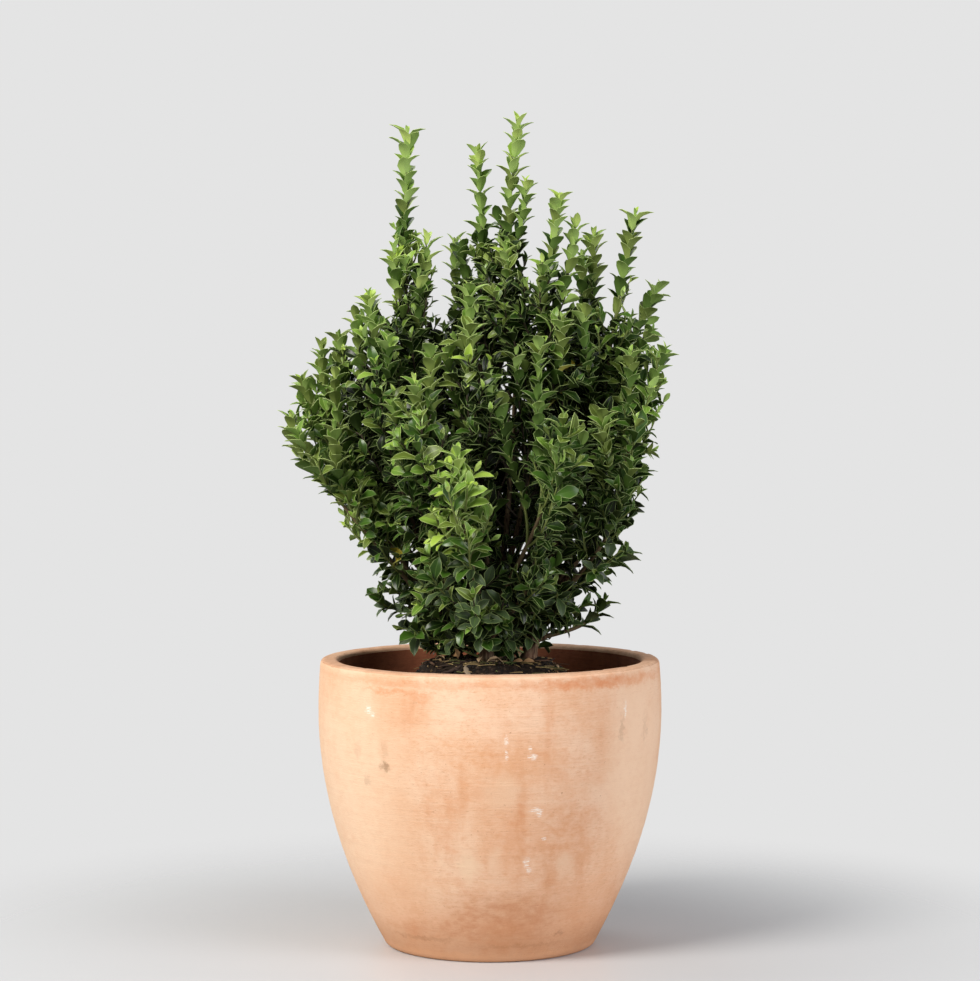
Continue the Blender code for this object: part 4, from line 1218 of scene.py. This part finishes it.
def chipShape():
    # one chip of bark: a flat block, narrowed towards its ends
    chip = primitive(bpy.ops.mesh.primitive_cube_add, size=2)
    editAll()
    bpy.ops.mesh.bevel(offset=0.55, segments=1)
    bpy.ops.object.mode_set(mode="OBJECT")
    rng = random.Random("chip")
    for vertex in chip.data.vertices:
        vertex.co.y *= rng.uniform(0.6, 1.1) * (1.15 - 0.5 * abs(vertex.co.x))
        vertex.co.z += 0.25 * vertex.co.x ** 2
    return takeShape(chip)


def randomTurn(rng, tilt):
    heading = rng.uniform(0, math.tau)
    turn = Matrix.Rotation(heading, 3, "Z") @ Matrix.Rotation(rng.gauss(0, tilt), 3, "X")
    return np.array(turn @ Matrix.Rotation(rng.gauss(0, tilt), 3, "Y"))


def scatter(name, shape, rows, materials, angle):
    # rows: (place, 3 x 3 turn and scale, material)
    points, facets = shape
    vertices, faces, slots = [], [], []
    for at, turn, material in rows:
        start = len(vertices) * len(points)
        vertices.append(points @ np.asarray(turn).T + at)
        faces += [tuple(start + v for v in facet) for facet in facets]
        slots += [material] * len(facets)
    settle(newPiece(name, np.concatenate(vertices), faces, materials, slots), angle, "compost")


def onSoil(x, y, lift):
    return np.array((x, y, soilSurface(x, y) + lift))


def soilSpot(rng, most=0.150):
    r, turn = most * math.sqrt(rng.random()), rng.uniform(0, math.tau)
    return r * math.cos(turn), r * math.sin(turn)


modelSoil()
rng = random.Random("soil")
rows = []
for i in range(soilLook["crumbs"]):
    x, y = soilSpot(rng)
    grit = rng.uniform(0.0007, 0.0018) * (1.7 if rng.random() < 0.08 else 1)
    stretch = np.diag((grit * rng.uniform(0.8, 1.3), grit, grit * rng.uniform(0.6, 1.0)))
    rows.append((onSoil(x, y, grit * 0.3), randomTurn(rng, 0.6) @ stretch, rng.choices((0, 1, 2), (6, 3, 1))[0]))
# peat and coir fibre, dry and matt
crumbTones = [newMaterial("dark peat", "#17100a", 0.95), newMaterial("brown peat", "#332416", 0.95),
              newMaterial("tan fibre", "#8a7150", 0.9)]
scatter("soil_crumbs", lumpShape(), rows, crumbTones, 30)
rows = []
for i in range(soilLook["chips"]):
    x, y = soilSpot(rng, 0.135)
    longway = rng.uniform(0.003, 0.011)
    stretch = np.diag((longway, longway * rng.uniform(0.2, 0.45), longway * rng.uniform(0.08, 0.18)))
    rows.append((onSoil(x, y, 0.0016), randomTurn(rng, 0.35) @ stretch, rng.choices((0, 1, 2), (5, 3, 2))[0]))
# shredded bark, dry and matt
chipTones = [newMaterial("bark chip, dark", "#33241a", 0.9), newMaterial("bark chip, brown", "#5d4431", 0.9),
             newMaterial("bark chip, grey", "#8b7a64", 0.9)]
scatter("soil_chips", chipShape(), rows, chipTones, 25)
print("soil, crumbs and chips are laid")


litter = {
    "dryLeaves": 20, "needles": 230,
    # the dry leaves that lie in view: x, y, reach, lift of the tip, heading in degrees, tone
    "leaves": ((-0.004, -0.064, 0.021, 0.12, 15, 1), (-0.013, -0.066, 0.013, 0.50, 80, 1),
               (-0.037, -0.052, 0.015, 1.00, 100, 0), (0.080, -0.034, 0.023, 0.16, 170, 0),
               (0.052, -0.054, 0.014, 0.20, 200, 0), (-0.066, -0.034, 0.014, 0.25, 20, 0),
               (0.026, -0.062, 0.012, 0.20, 340, 0), (-0.052, -0.044, 0.012, 0.20, 150, 1),
               (0.080, -0.020, 0.017, 0.30, 120, 1)),
    # papery when dry: leaves, and needles with a few still green
    "leafTones": (("dry leaf, tan", "#9c7850"), ("dry leaf, pale", "#c4a67e")),
    "needleTones": (("dry needle, tan", "#a38b5c"), ("dry needle, brown", "#4c3622"),
                    ("dry needle, olive", "#5b5d30"), ("green needle", "#5f7038")),
}


def layLeaves():
    # fallen leaves, dried tan and curled
    rng = random.Random("fallen")
    rows = []
    for i in range(litter["dryLeaves"]):
        if i < len(litter["leaves"]):
            x, y, reach, lift, heading, tone = litter["leaves"][i]
            turn = np.array(Matrix.Rotation(math.radians(heading), 3, "Z") @ Matrix.Rotation(-lift, 3, "Y")
                            @ Matrix.Rotation(rng.gauss(0, 0.5), 3, "X"))
        else:
            x, y = soilSpot(rng, 0.125)
            reach, tone, turn = rng.uniform(0.013, 0.021), rng.choices((0, 1), (3, 2))[0], randomTurn(rng, 0.30)
        curl = np.diag((reach, reach * rng.uniform(0.8, 1.1), reach * rng.uniform(0.8, 2.2)))
        rows.append((onSoil(x, y, 0.003), turn @ curl, tone))
    tones = [newMaterial(name, tone, 0.8) for name, tone in litter["leafTones"]]
    scatter("fallen_leaves", leafShapes["broad"][:2], rows, tones, 40)


def layNeedles():
    # thin dry needles and straws, thicker on the ground towards the front
    rng = random.Random("needles")
    vertices, faces, slots = [], [], []
    for i in range(litter["needles"]):
        x, y = soilSpot(rng, 0.095)
        if i % 3 == 0:
            x, y = rng.uniform(-0.075, 0.085), rng.uniform(-0.070, -0.035)
        turn, reach, lift = rng.uniform(0, math.tau), rng.uniform(0.007, 0.022), rng.gauss(0.12, 0.12)
        way = np.array((math.cos(turn), math.sin(turn), lift))
        foot = onSoil(x, y, 0.0012)
        sag = np.array((0, 0, -(abs(lift) * 0.8 + 0.05) * reach))
        points = [foot + way * reach * t + sag * t * t for t in np.linspace(0, 1, 4)]
        addTube(vertices, faces, points, np.linspace(0.00055, 0.00025, 4), 4)
        green = 0.0 < x < 0.04 and rng.random() < 0.5
        slots += [3 if green else rng.choices((0, 1, 2), (3, 3, 2))[0]] * (len(faces) - len(slots))
    tones = [newMaterial(name, tone, 0.8) for name, tone in litter["needleTones"]]
    settle(newPiece("needles", vertices, faces, tones, slots), 60, "compost")


layLeaves()
layNeedles()
print("fallen leaves and needles are laid")
